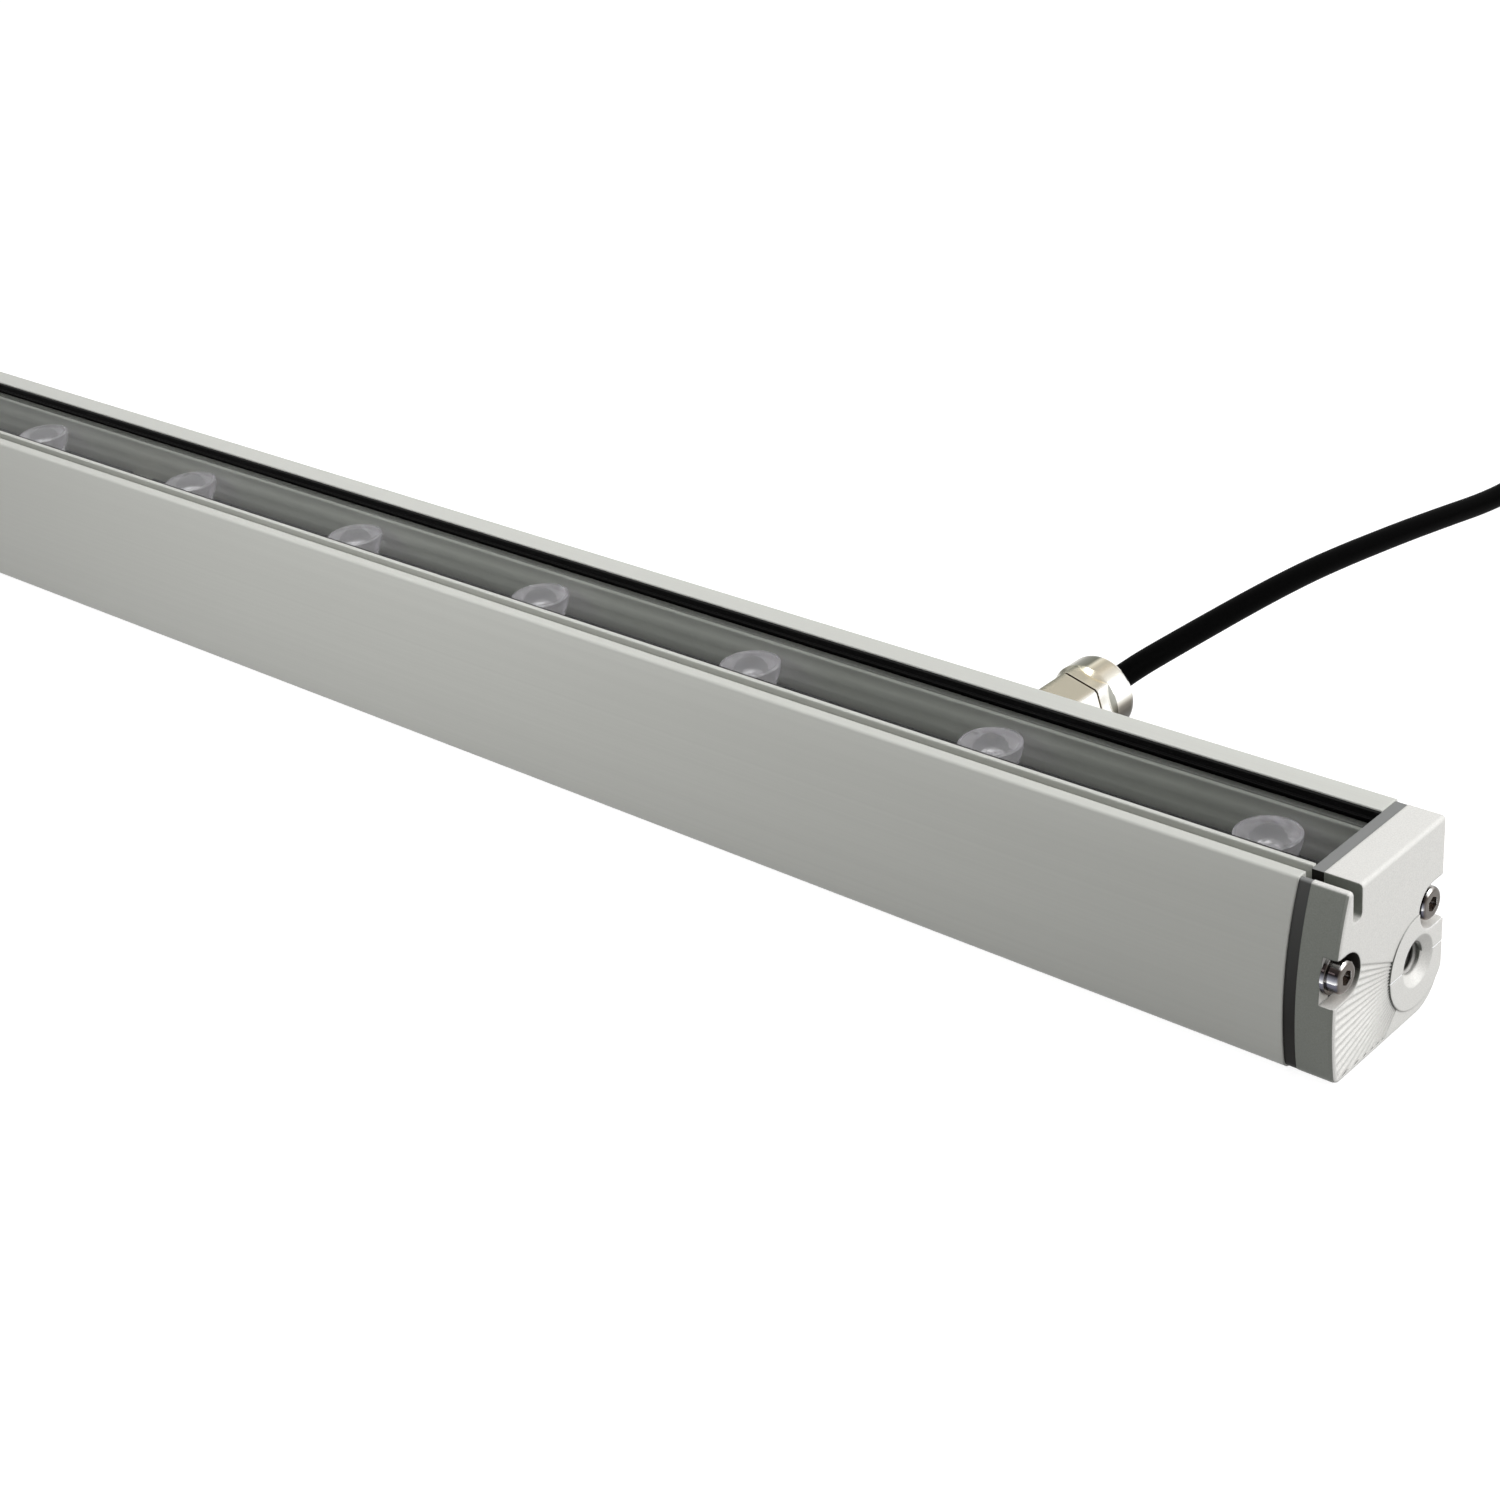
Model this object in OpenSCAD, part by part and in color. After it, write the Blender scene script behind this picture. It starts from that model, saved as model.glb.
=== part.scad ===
// Linear wall washer light for outdoor use: an extruded aluminium housing with
// die-cast end caps, a glazed optic chamber with a row of lenses, a driver
// chamber below it, and a supply cable that leaves through a gland at the rear.
// X runs along the light, Y points to its rear and Z points up.
// The origin lies under the middle of the housing, on the surface that it stands on.

/* [Housing] */
// Length over both end caps
length = 993.4; // [600:0.2:1500]
// Depth of the section, front to rear
depth = 50.6; // [48:0.1:56]
// Height of the section
height = 50.3; // [50:0.1:56]
// Radius of the bowed front face
front_r = 95; // [80:1:120]
// Height at which the front face stands out most
bulge_z = 14.5; // [10:0.5:20]
// Radius of the lower front corner
toe_r = 3.2; // [3:0.1:5]
// Radius of the lower rear corner
heel_r = 11; // [8:0.5:12]
// Radius of the upper outer edges
brim_r = 0.8; // [0.5:0.1:1.2]
// Inward lean of the rear wall, in degrees
rear_lean = 1.4; // [0:0.1:2]
// Thickness of the outer walls
wall_t = 2.4; // [2:0.1:3]
// Depth of the optic chamber's floor below the top
optic_depth = 20; // [19:0.1:21]
// Thickness of the web
web_t = 3; // [2.5:0.1:3.5]
// Thickness of the walls beside the optic chamber
chamber_wall = 1.8; // [1.5:0.1:2.2]
// Thickness of the rear wall where the gland is screwed in
land_t = 4.4; // [4:0.1:5]
// Distance of that thick wall's foot below the gland's axis
land_drop = 12.1; // [11:0.1:13]
// Depth of the solid rear lip
lip_depth = 8.7; // [7.5:0.1:9]
// Width of the front lip, from the front face to the glass channel
front_lip_w = 14.45; // [14:0.05:15]
// Width of the rear lip
rear_lip_w = 7.35; // [7:0.05:8]

/* [Clip groove] */
// Width of the groove along the front lip
groove_w = 2.9; // [2.5:0.1:3.5]
// Depth of the groove
groove_depth = 9.2; // [6:0.1:10]
// Thickness of the rail between the groove and the glass
rail_t = 1.4; // [1.2:0.1:2]
// Width of the groove where it runs out through the end caps
cap_groove_w = 3.9; // [3:0.1:4.5]
// Distance of that groove's inner side ahead of the rail's outer side
cap_groove_shift = 0.5; // [0:0.1:0.5]

/* [Glass] */
// Thickness of the glass
glass_t = 3; // [2.5:0.1:4]
// Depth of the glass below the top
glass_recess = 2.7; // [2:0.1:3.5]
// Width of glass that lies on each ledge
ledge_lap = 2.35; // [2:0.05:3]
// Width of the chamfer along each ledge's inner edge
ledge_edge = 0.5; // [0.2:0.1:0.8]
// Thickness of the seat tape under the glass
tape_t = 0.5; // [0.3:0.1:0.8]
// Thickness of the rubber beads beside the glass
bead_t = 1; // [0.8:0.05:1.3]
// Width of the bead's wiper over the glass
wiper_w = 0.7; // [0.4:0.1:1]
// Thickness of the wiper
wiper_t = 0.6; // [0.4:0.1:0.8]
// Depth of the bead's barb in the rear lip
barb_depth = 0.9; // [0.6:0.1:1.2]
// Height of the barb
barb_h = 1; // [0.8:0.1:1.4]
// Radius of the shallow flutes in the chamber's rear wall
flute_r = 5; // [4:0.1:6]
// Depth of the flutes
flute_depth = 0.4; // [0.2:0.05:0.5]

/* [End caps] */
// Thickness of an end cap
cap_t = 10.1; // [9:0.1:12]
// Amount by which a cap's outline is smaller than the housing's
cap_inset = 0.3; // [0:0.1:0.5]
// Rounding of the cap's outer edge
cap_edge = 0.9; // [0.5:0.1:1.2]
// Thickness of the cap's face
cap_face_t = 6.2; // [5.5:0.1:7]
// Thickness of the cap's rim on its inner side
cap_rim = 3.4; // [3:0.1:4]
// Thickness of the gasket behind a cap
gasket_t = 3.3; // [2.5:0.1:4]
// Width of the gasket's band around the driver chamber
gasket_band = 4.6; // [4:0.1:5]
// Amount by which the gasket's outline is smaller than the housing's
gasket_inset = 0.4; // [0.2:0.1:0.6]
// Radius of the raised round pad
pad_r = 12.7; // [11:0.1:14]
// Height of the pad above the face
pad_h = 0.3; // [0.2:0.1:1]
// Distance of the pad's centre from the rear face
pad_edge = 12.6; // [12:0.1:13]
// Core radius of the fixing thread in the pad
thread_r = 4.25; // [4:0.05:4.4]
// Depth of the thread below its countersink
thread_depth = 13; // [10:0.5:14]
// Radius of the thread's countersink at the face
sink_r = 6.8; // [6:0.1:7.2]
// Depth of the countersink
sink_depth = 2; // [1:0.1:2.5]
// Radius of the boss behind the thread
boss_r = 7.3; // [7:0.1:7.5]
// Floor left under the thread
boss_floor = 2; // [1.5:0.1:3]
// Width of the index line across the pad
index_w = 0.5; // [0.3:0.1:0.8]
// Depth of the index line
index_depth = 0.2; // [0.1:0.05:0.25]
// Number of graduation grooves
fan_count = 19; // [9:1:25]
// Angle between two grooves, in degrees
fan_pitch = 3.8; // [3:0.1:5]
// Angle of the first groove, in degrees from the rear
fan_start = 155; // [150:1:165]
// Radius of a groove's cutter at the pad
fan_r_in = 0.35; // [0.2:0.05:0.5]
// Radius of a groove's cutter at its far end
fan_r_out = 1.35; // [0.8:0.05:1.5]
// Depth of the grooves at the pad
fan_depth_in = 0.3; // [0.1:0.05:0.3]
// Depth that the grooves would have a whole section away from the pad
fan_depth_out = 0.8; // [0.3:0.05:0.9]
// Width of plain face between the grooves and the cap's rounded edge
fan_margin = 0.4; // [0.2:0.1:2]

/* [Cap screws] */
// Distance of the screws from the front and rear faces
port_edge = 6.05; // [5.8:0.05:6.3]
// Distance of the screws below the web's middle
port_drop = 0.5; // [0:0.1:1]
// Outer radius of the screw ports in the housing
port_r = 4.2; // [3.8:0.1:4.4]
// Radius of the cap screws' shank
screw_r = 2.45; // [2:0.05:2.5]
// Length of the shank
screw_l = 22; // [18:1:30]
// Radius of the screw heads
screw_head_r = 4.25; // [3.8:0.05:4.6]
// Height of the screw heads
screw_head_h = 3.1; // [2.5:0.1:3.6]
// Radius of the washers under the heads
washer_r = 5.2; // [4.8:0.05:5.4]
// Thickness of the washers
washer_t = 1; // [0.8:0.1:1.2]
// Width across the flats of the screws' sockets
socket_w = 3.6; // [3:0.1:4]
// Depth of the sockets
socket_depth = 1.8; // [1:0.1:2]
// Radius of the pockets round the heads
pocket_r = 6.15; // [5.8:0.05:6.4]
// Depth of the pockets
pocket_depth = 4; // [3.7:0.1:4.2]

/* [Light engine] */
// Number of LEDs
led_count = 12; // [8:2:16]
// Distance of the last LED from the end of the light
led_end = 35.9; // [33:0.1:40]
// Gap between the LED boards and the chamber's walls
board_side_gap = 1.05; // [0.8:0.05:1.5]
// Thickness of the LED boards
board_t = 1.6; // [1:0.1:2]
// Gap between the two boards
board_gap = 12; // [10:0.5:16]
// Distance of the boards' ends from the gaskets
board_end = 8; // [5:0.5:12]
// Thickness of the heat pads under the boards
pad_t = 0.3; // [0.2:0.05:0.5]
// Gap between the lenses and the chamber's walls
lens_side_gap = 2.55; // [2:0.05:3]
// Gap between a lens and the glass
lens_gap = 0.7; // [0.5:0.1:1.2]
// Height of a lens's crown above its rim
crown_h = 1.5; // [0.8:0.1:2]
// Height of a lens's rim
rim_h = 1.3; // [1:0.1:2]
// Depth of the hollow in a lens over its LED
hollow_depth = 4; // [3:0.1:5]
// Width of an LED package
led_w = 3.5; // [3:0.1:3.8]
// Height of an LED package
led_h = 0.8; // [0.6:0.1:1]
// Radius of the dome on it
dome_r = 1.3; // [1:0.1:1.6]
// Gap between a package's corners and the lens over it
hollow_gap = 0.8; // [0.5:0.1:1]
// Thickness of a lens's wall at its foot
foot_wall = 1.4; // [1.2:0.1:1.6]
// Radius of the board screws
board_screw_r = 1.4; // [1.2:0.05:1.5]
// Radius of their heads
board_head_r = 2.6; // [2.2:0.1:2.8]
// Height of their heads
board_head_h = 1.7; // [1.2:0.1:2]

/* [Driver] */
// Distance of the driver board from the middle of the light
driver_x = 40; // [36:1:60]
// Distance of the driver board from the gland's axis
driver_gap = 67; // [50:1:80]
// Distance of the driver board's edges from the front and rear faces
driver_edge = 5.7; // [5.6:0.1:6]
// Thickness of the driver board
driver_t = 1.6; // [1.4:0.1:1.8]
// Height of the driver board's underside
driver_z = 6.9; // [6.5:0.1:7.2]
// Height of the guide ribs that hold it
rib_h = 1.3; // [1:0.1:1.6]
// Width of board that lies in each guide
rib_lap = 1; // [0.8:0.1:1.2]
// Radius of the web's hole for the wires to the boards
grommet_r = 4; // [3.5:0.1:4.5]
// Bore radius of the grommet in that hole
grommet_bore = 2.7; // [2.4:0.1:3]
// Size of the grommet's lips
grommet_lip = 0.8; // [0.5:0.1:1.2]
// Radius of the wires to the boards
wire_r = 0.8; // [0.6:0.05:1]
// Length of the input terminal
input_l = 16; // [14:0.5:20]
// Width of one way of a terminal
way_w = 5; // [4.5:0.1:5.5]
// Length of the output terminal
output_l = 12; // [10:0.5:14]
// Length of the transformer's core
core_l = 26; // [22:0.5:30]
// Width of the transformer's core
core_w = 24; // [20:0.5:26]
// Radius of the capacitors
cap_r = 5; // [4:0.1:6]
// Mean radius of the ring chokes
choke_r = 6.5; // [5.5:0.1:7.5]
// Radius of their windings
choke_wind_r = 3; // [2.5:0.1:3.5]
// Width of a transistor's case
transistor_w = 10; // [9:0.5:11]
// Thickness of a transistor's case
transistor_t = 4.5; // [4:0.1:5]
// Thickness of the sheet-metal cooler behind the transistors
cooler_t = 1.5; // [1:0.1:2]

/* [Gland and cable] */
// Distance of the gland from the end of the light
gland_end = 127.7; // [120:0.1:150]
// Height of the gland's axis above the optic chamber's floor
gland_rise = 0.3; // [0:0.1:1]
// Width across the flats of the gland's hexagons
gland_af = 18.9; // [18.5:0.1:20]
// Angle by which the hexagons are turned, in degrees
gland_turn = 15; // [0:1:60]
// Radius of the gland's thread in the wall
gland_thread_r = 7.9; // [7.5:0.05:8]
// Length of the hexagonal body
gland_body_l = 24.6; // [18:0.1:26]
// Length of the dome nut
gland_nut_l = 14.6; // [12:0.1:16]
// Length of its hexagon
gland_hex_l = 3.8; // [3:0.1:5]
// Rounding of its far end
gland_dome_r = 3.6; // [3:0.1:4.5]
// Length of thread that shows between body and nut
gland_neck = 0.7; // [0.4:0.1:1.2]
// Thickness of the sealing ring under the body
oring_t = 1.2; // [1:0.1:1.5]
// Depth of the spot face for the sealing ring
spot_depth = 0.6; // [0.5:0.05:0.8]
// Diameter of the cable
cable_d = 7; // [6.6:0.1:7.2]
// Diameter of a core in the cable
core_d = 2.2; // [2:0.1:2.3]
// Length of the bare cores at the free end
tail_l = 34; // [25:1:40]
// Radius of the coil's outermost turn
coil_r = 50.5; // [48:0.5:55]
// Distance between neighbouring turns
coil_pitch = 7.8; // [7.7:0.1:8.5]
// Number of turns in the coil
coil_turns = 2.7; // [2.6:0.05:2.75]
// Height of the coiled cable's centre line
coil_z = 4.5; // [4.5:0.1:5]

/* [Hidden] */
LENS_NAMES = [for (i = [1:led_count]) str("lens_", i < 10 ? "0" : "", i)];

// Overrun of every cut, and the clearance between pieces that slide into each other
over = 1;
fit = 0.1;
// Clearance round a lead, between a lens foot and a package, and of screws in their holes
hole_fit = 0.25;

// Band of the tie round the coil
tie_t = 0.8;
tie_w = 4;
tie_fit = 0.2;
// Distance of the coil's near end behind the middle of the light
coil_y = 345;
// Route of the free cable, as places along Y and heights, from the gland down to the surface
RUN_POINTS = [[74, 30.8], [83, 30.7], [96, 30], [112, 29], [130, 27.8], [150, 26.2],
    [170, 24.1], [190, 21.3], [208, 18.4], [224, 15.7], [240, 12.8], [256, 9.8],
    [272, 6.8], [288, 4.6], [304, 3.8], [320, 3.9]];

// Sizes and places that follow from the section
half_l = length / 2;
frame_l = length - 2 * (pad_h + cap_t + gasket_t);
glass_w = depth - front_lip_w - rear_lip_w - 2 * bead_t;
glass_y = (front_lip_w - rear_lip_w) / 2;
channel_half = glass_w / 2 + bead_t;
rail_in = glass_y - channel_half;
rail_out = rail_in - rail_t;
lip_in = glass_y + channel_half;
chamber_half = glass_w / 2 - ledge_lap;
glass_z = height - glass_recess - glass_t;
ledge_z = glass_z - tape_t;
lip_z = height - lip_depth;
web_top = height - optic_depth;
web_z = web_top - web_t;
groove_floor = height - groove_depth;
front_cy = front_r - depth / 2;
rear_y = depth / 2;
barb_z = glass_z + glass_t / 3;
port_y = depth / 2 - port_edge;
port_z = web_z + web_t / 2 - port_drop;
pad_y = depth / 2 - pad_edge;
pad_z = web_z * 0.58;

// Boards, LEDs and lenses
board_w = 2 * (chamber_half - board_side_gap);
board_z = web_top + pad_t;
board_top = board_z + board_t;
lens_r = chamber_half - lens_side_gap;
hollow_r = led_w / sqrt(2) + hollow_gap;
foot_r = hollow_r + foot_wall;
led_pitch = (length - 2 * led_end) / (led_count - 1);
LED_X = [for (i = [0:led_count - 1]) (i - (led_count - 1) / 2) * led_pitch];

// Gland and the cable in it
gland_x = half_l - gland_end;
gland_z = web_top + gland_rise;
land_z = gland_z - land_drop;
seat_y = rear_wall_y(gland_z, spot_depth);
gland_y = seat_y + oring_t;
nut_y = gland_y + gland_body_l + gland_neck;
exit_y = nut_y + gland_nut_l;
entry_y = rear_wall_y(gland_z, land_t);
cable_r = cable_d / 2;
seal_r = gland_thread_r * 0.81;
corner_r = gland_af / sqrt(3);

// Driver: its parts fill the room between its board and the web
driver_l = gland_x - driver_gap - driver_x;
driver_half_w = depth / 2 - driver_edge;
rib_y = driver_half_w - rib_lap;
driver_top = driver_z + driver_t;
driver_room = web_z - driver_top;
terminal_h = driver_room * 0.58;
core_h = driver_room * 0.8;
cap_h = driver_room * 0.85;
transistor_h = driver_room * 0.8;

// Polyline along an arc of a circle
function arc(cy, cz, r, a0, a1, n) =
    [for (i = [0:n]) [cy + r * cos(a0 + (a1 - a0) * i / n), cz + r * sin(a0 + (a1 - a0) * i / n)]];
// Centre of a circle that touches the front face from inside, at a given height
function touch_y(r, z, inset) =
    front_cy - sqrt((front_r - inset - r) * (front_r - inset - r) - (bulge_z - z) * (bulge_z - z));
// Angle at which that circle meets the front face
function touch_a(r, z, inset) = atan2(z - bulge_z, touch_y(r, z, inset) - front_cy);
// Place of the rear wall at a given height
function rear_wall_y(z, inset) = rear_y - inset / cos(rear_lean) - (height - z) * tan(rear_lean);

// Outline of the section, drawn in by a given amount, from the upper front edge round to the rear
function outline(inset) =
    let (brim = brim_r,
         toe = toe_r - inset > brim_r ? toe_r - inset : brim_r,
         heel = heel_r - inset,
         top = height - inset,
         brim_z = top - brim,
         toe_z = inset + toe,
         heel_z = inset + heel,
         a_brim = touch_a(brim, brim_z, inset),
         a_toe = touch_a(toe, toe_z, inset),
         a_top = a_brim < 0 ? a_brim + 360 : a_brim,
         a_low = a_toe < 0 ? a_toe + 360 : a_toe,
         heel_y = rear_wall_y(heel_z - heel * sin(rear_lean), inset) - heel * cos(rear_lean),
         rim_y = rear_wall_y(brim_z - brim * sin(rear_lean), inset) - brim * cos(rear_lean))
    concat(
        arc(touch_y(brim, brim_z, inset), brim_z, brim, 90, a_top, 4),
        arc(front_cy, bulge_z, front_r - inset, a_top, a_low, 18),
        arc(touch_y(toe, toe_z, inset), toe_z, toe, a_low, 270, 6),
        arc(heel_y, heel_z, heel, -90, -rear_lean, 12),
        arc(rim_y, brim_z, brim, -rear_lean, 90, 4));

// A flat shape in Y and Z, made solid between two places along X
module along_x(from, to) {
    translate([from, 0, 0]) rotate([90, 0, 90]) linear_extrude(to - from) children();
}

// A rectangle in Y and Z between two corners
module span(y0, z0, y1, z1) {
    translate([y0, z0]) square([y1 - y0, z1 - z0]);
}

// A block between two corners
module block(low, high) {
    translate(low) cube(high - low);
}

// Slot with a round floor, open at the top
module groove_shape(y_in, w) {
    translate([y_in - w / 2, groove_floor + w / 2]) circle(r = w / 2, $fn = 32);
    span(y_in - w, groove_floor + w / 2, y_in, height + over);
}

// Round shapes at both screw ports
module at_ports() {
    for (side = [-1, 1]) translate([side * port_y, port_z]) children();
}

/* Housing */

// Solid parts inside the outer walls
module section_ribs() {
    chamber_out = chamber_half + chamber_wall;
    span(glass_y - chamber_out, web_z, glass_y + chamber_out, height);
    span(-depth, web_z, depth, web_top);
    span(-depth, groove_floor - wall_t, glass_y, height);
    span(glass_y, lip_z, depth, height);
    polygon([[rear_wall_y(land_z, land_t), land_z], [depth, land_z],
        [depth, lip_z], [rear_wall_y(lip_z, land_t), lip_z]]);
    at_ports() circle(r = port_r, $fn = 48);
    for (side = [-1, 1], z = [driver_z - fit - rib_h, driver_top + fit])
        span(side > 0 ? rib_y : -depth, z, side > 0 ? depth : -rib_y, z + rib_h);
}

module housing_section() {
    flute_shares = [0.4, 0.79];
    difference() {
        polygon(outline(0));
        difference() {
            polygon(outline(wall_t));
            section_ribs();
        }
        span(rail_in, ledge_z, lip_in, height + over);
        span(glass_y - chamber_half, web_top, glass_y + chamber_half, ledge_z + over);
        polygon([[glass_y - chamber_half, ledge_z - ledge_edge], [glass_y + chamber_half, ledge_z - ledge_edge],
            [glass_y + chamber_half + ledge_edge, ledge_z], [glass_y - chamber_half - ledge_edge, ledge_z]]);
        for (share = flute_shares)
            translate([glass_y + chamber_half + flute_depth - flute_r, web_top + share * (ledge_z - web_top)])
                circle(r = flute_r, $fn = 64);
        groove_shape(rail_out, groove_w);
        span(lip_in - over, barb_z - fit, lip_in + barb_depth + fit, barb_z + barb_h + fit);
        at_ports() circle(r = screw_r + fit, $fn = 32);
    }
}

// Places of the board screws
function board_screw_x() = [for (i = [1:2:led_count / 2 - 1], side = [-1, 1]) side * i * led_pitch];
board_screw_y = glass_y - board_w / 2 + board_head_r * 1.28;

module housing_profile() color([0.74, 0.76, 0.73]) difference() {
    along_x(-frame_l / 2, frame_l / 2) housing_section();
    // Tapped hole for the gland, run on through the screw port, and its spot face
    translate([gland_x, 0, gland_z]) rotate([-90, 0, 0]) {
        translate([0, 0, glass_y + chamber_half + chamber_wall + hole_fit])
            cylinder(r = gland_thread_r + fit, h = depth, $fn = 64);
        translate([0, 0, seat_y]) cylinder(r = corner_r + over, h = depth, $fn = 64);
    }
    // Hole for the wires to the boards, and those for the board screws
    translate([0, glass_y, web_z - over]) cylinder(r = grommet_r, h = web_t + 2 * over, $fn = 48);
    for (x = board_screw_x()) translate([x, board_screw_y, web_z - over])
        cylinder(r = board_screw_r + fit, h = web_t + 2 * over, $fn = 24);
    // Room for the end caps' bosses
    for (side = [-1, 1]) translate([side * frame_l / 2, pad_y, pad_z]) rotate([0, 90, 0])
        cylinder(r = boss_r + hole_fit, h = 2 * (thread_depth + boss_floor), center = true, $fn = 64);
}

/* Glazing */

module front_glass() color([0.75, 0.8, 0.8, 0.35])
    along_x(-frame_l / 2 + fit, frame_l / 2 - fit)
        span(glass_y - glass_w / 2, glass_z, glass_y + glass_w / 2, glass_z + glass_t);

// Bead beside the glass: a pad, a wiper over the glass and, at the rear, a barb in the lip
module bead_section(barbed) {
    edge = glass_w / 2;
    span(edge, ledge_z, edge + bead_t, height - wiper_t / 2);
    span(edge - wiper_w, glass_z + glass_t, edge + fit, glass_z + glass_t + wiper_t);
    if (barbed) polygon([[edge + bead_t - fit, barb_z], [edge + bead_t + barb_depth, barb_z + barb_h / 2],
        [edge + bead_t + barb_depth, barb_z + barb_h], [edge + bead_t - fit, barb_z + barb_h]]);
}

module glazing_bead_front() color([0.05, 0.05, 0.05])
    along_x(-frame_l / 2, frame_l / 2) translate([glass_y, 0]) mirror([1, 0]) bead_section(false);

module glazing_bead_rear() color([0.05, 0.05, 0.05])
    along_x(-frame_l / 2, frame_l / 2) translate([glass_y, 0]) bead_section(true);

module glass_seat_tapes() color([0.15, 0.15, 0.16]) for (side = [0, 1]) {
    low_y = chamber_half + ledge_edge;
    translate([0, glass_y, 0]) mirror([0, side, 0])
        along_x(-frame_l / 2 + fit, frame_l / 2 - fit) span(low_y, ledge_z, glass_w / 2, glass_z);
}

/* End caps */

// The pocket round each screw head, open to the side, grown by a given amount
module pockets(grow) {
    r = pocket_r + grow;
    at_ports() circle(r = r, $fn = 64);
    for (side = [-1, 1]) translate([side * (port_y + depth / 2), port_z]) square([depth, 2 * r], center = true);
}

// Radial grooves that start at the pad and get wider and deeper up to the face's margin
module fan() {
    reach = depth;
    lift_in = fan_r_in - fan_depth_in;
    lift_out = fan_r_out - fan_depth_out;
    tilt = atan((lift_out - lift_in) / (reach - pad_r));
    intersection() {
        along_x(-over, over) difference() {
            polygon(outline(cap_inset + cap_edge + fan_margin));
            pockets(fan_margin);
        }
        translate([0, pad_y, pad_z])
            for (i = [0:fan_count - 1]) rotate([fan_start + i * fan_pitch, 0, 0])
                translate([lift_in, pad_r, 0]) rotate([-90, 0, -tilt])
                    cylinder(r1 = fan_r_in, r2 = fan_r_out, h = reach - pad_r, $fn = 24);
    }
}

// A cap with its outer face on X = 0 and the housing on its negative side
module end_cap() color([0.84, 0.83, 0.81]) difference() {
    thread_top = pad_h - sink_depth;
    union() {
        difference() {
            hull() {
                along_x(-cap_t, -cap_edge) polygon(outline(cap_inset));
                along_x(-cap_edge, -cap_edge * (1 - cos(45)))
                    polygon(outline(cap_inset + cap_edge * (1 - cos(45))));
                along_x(-cap_edge, 0) polygon(outline(cap_inset + cap_edge));
            }
            fan();
            // Hollows at the back, one behind each chamber
            along_x(-cap_t - over, -cap_face_t) difference() {
                intersection() {
                    polygon(outline(cap_rim));
                    span(-depth, 0, depth, web_z);
                }
                at_ports() circle(r = port_r, $fn = 48);
            }
            along_x(-cap_t - over, -cap_face_t)
                span(glass_y - chamber_half, web_top, glass_y + chamber_half, ledge_z - tape_t);
        }
        intersection() {
            translate([-cap_edge, pad_y, pad_z]) rotate([0, 90, 0])
                cylinder(r = pad_r, h = cap_edge + pad_h, $fn = 96);
            along_x(-cap_t, cap_t) polygon(outline(cap_inset + cap_edge / 2));
        }
        translate([thread_top - thread_depth - boss_floor, pad_y, pad_z]) rotate([0, 90, 0])
            cylinder(r = boss_r, h = thread_depth + boss_floor - sink_depth, $fn = 64);
    }
    along_x(-cap_t - over, over) {
        groove_shape(rail_out - cap_groove_shift, cap_groove_w);
        at_ports() circle(r = screw_r + hole_fit, $fn = 32);
    }
    along_x(-pocket_depth, over) pockets(0);
    along_x(pad_h - index_depth, pad_h + over)
        span(pad_y - pad_r, pad_z - index_w / 2, depth, pad_z + index_w / 2);
    translate([thread_top - thread_depth, pad_y, pad_z]) rotate([0, 90, 0])
        cylinder(r = thread_r, h = thread_depth + over, $fn = 48);
    translate([thread_top, pad_y, pad_z]) rotate([0, 90, 0])
        cylinder(r1 = thread_r, r2 = sink_r, h = sink_depth, $fn = 64);
    translate([pad_h, pad_y, pad_z]) rotate([0, 90, 0])
        cylinder(r = sink_r, h = over, $fn = 64);
}

module end_cap_right() translate([half_l - pad_h, 0, 0]) end_cap();

module end_cap_left() mirror([1, 0, 0]) end_cap_right();

module gasket_section() {
    difference() {
        polygon(outline(gasket_inset));
        difference() {
            intersection() {
                polygon(outline(gasket_band));
                span(-depth, 0, depth, web_z - tape_t);
            }
            at_ports() circle(r = port_r, $fn = 48);
        }
        span(glass_y - chamber_half, web_top + tape_t, glass_y + chamber_half, ledge_z - tape_t);
        translate([pad_y, pad_z]) circle(r = boss_r + hole_fit, $fn = 64);
        groove_shape(rail_out - cap_groove_shift, cap_groove_w);
        at_ports() circle(r = screw_r + hole_fit, $fn = 32);
    }
}

module end_gasket_right() color([0.3, 0.29, 0.28])
    along_x(frame_l / 2, frame_l / 2 + gasket_t) gasket_section();

module end_gasket_left() mirror([1, 0, 0]) end_gasket_right();

// Socket-head screw with its washer, which lies on X = 0 and points along negative X
module cap_screw() color([0.72, 0.7, 0.68]) {
    rounding = screw_head_h / 3;
    top = washer_t + screw_head_h;
    bevel = washer_t / 4;
    difference() {
        union() {
            rotate([0, 90, 0]) rotate_extrude($fn = 48) polygon(concat([[0, 0], [washer_r, 0],
                [washer_r, washer_t - bevel], [washer_r - bevel, washer_t], [screw_head_r, washer_t]],
                [for (a = [0:22.5:90]) [screw_head_r - rounding * (1 - cos(a)), top - rounding * (1 - sin(a))]],
                [[0, top]]));
            translate([-screw_l, 0, 0]) rotate([0, 90, 0])
                cylinder(r = screw_r, h = screw_l + fit, $fn = 32);
        }
        translate([top - socket_depth, 0, 0]) rotate([0, 90, 0])
            cylinder(r = socket_w / sqrt(3), h = screw_head_h, $fn = 6);
    }
}

module cap_screws_right()
    for (side = [-1, 1]) translate([half_l - pad_h - pocket_depth, side * port_y, port_z]) cap_screw();

module cap_screws_left() mirror([1, 0, 0]) cap_screws_right();

/* Light engine */

// Outline of one board, with its screw holes, from above
module board_plate(hole_r) {
    difference() {
        translate([board_gap / 2, glass_y - board_w / 2])
            square([frame_l / 2 - board_end - board_gap / 2, board_w]);
        for (x = board_screw_x()) translate([x, board_screw_y]) circle(r = hole_r, $fn = 24);
    }
}

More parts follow.
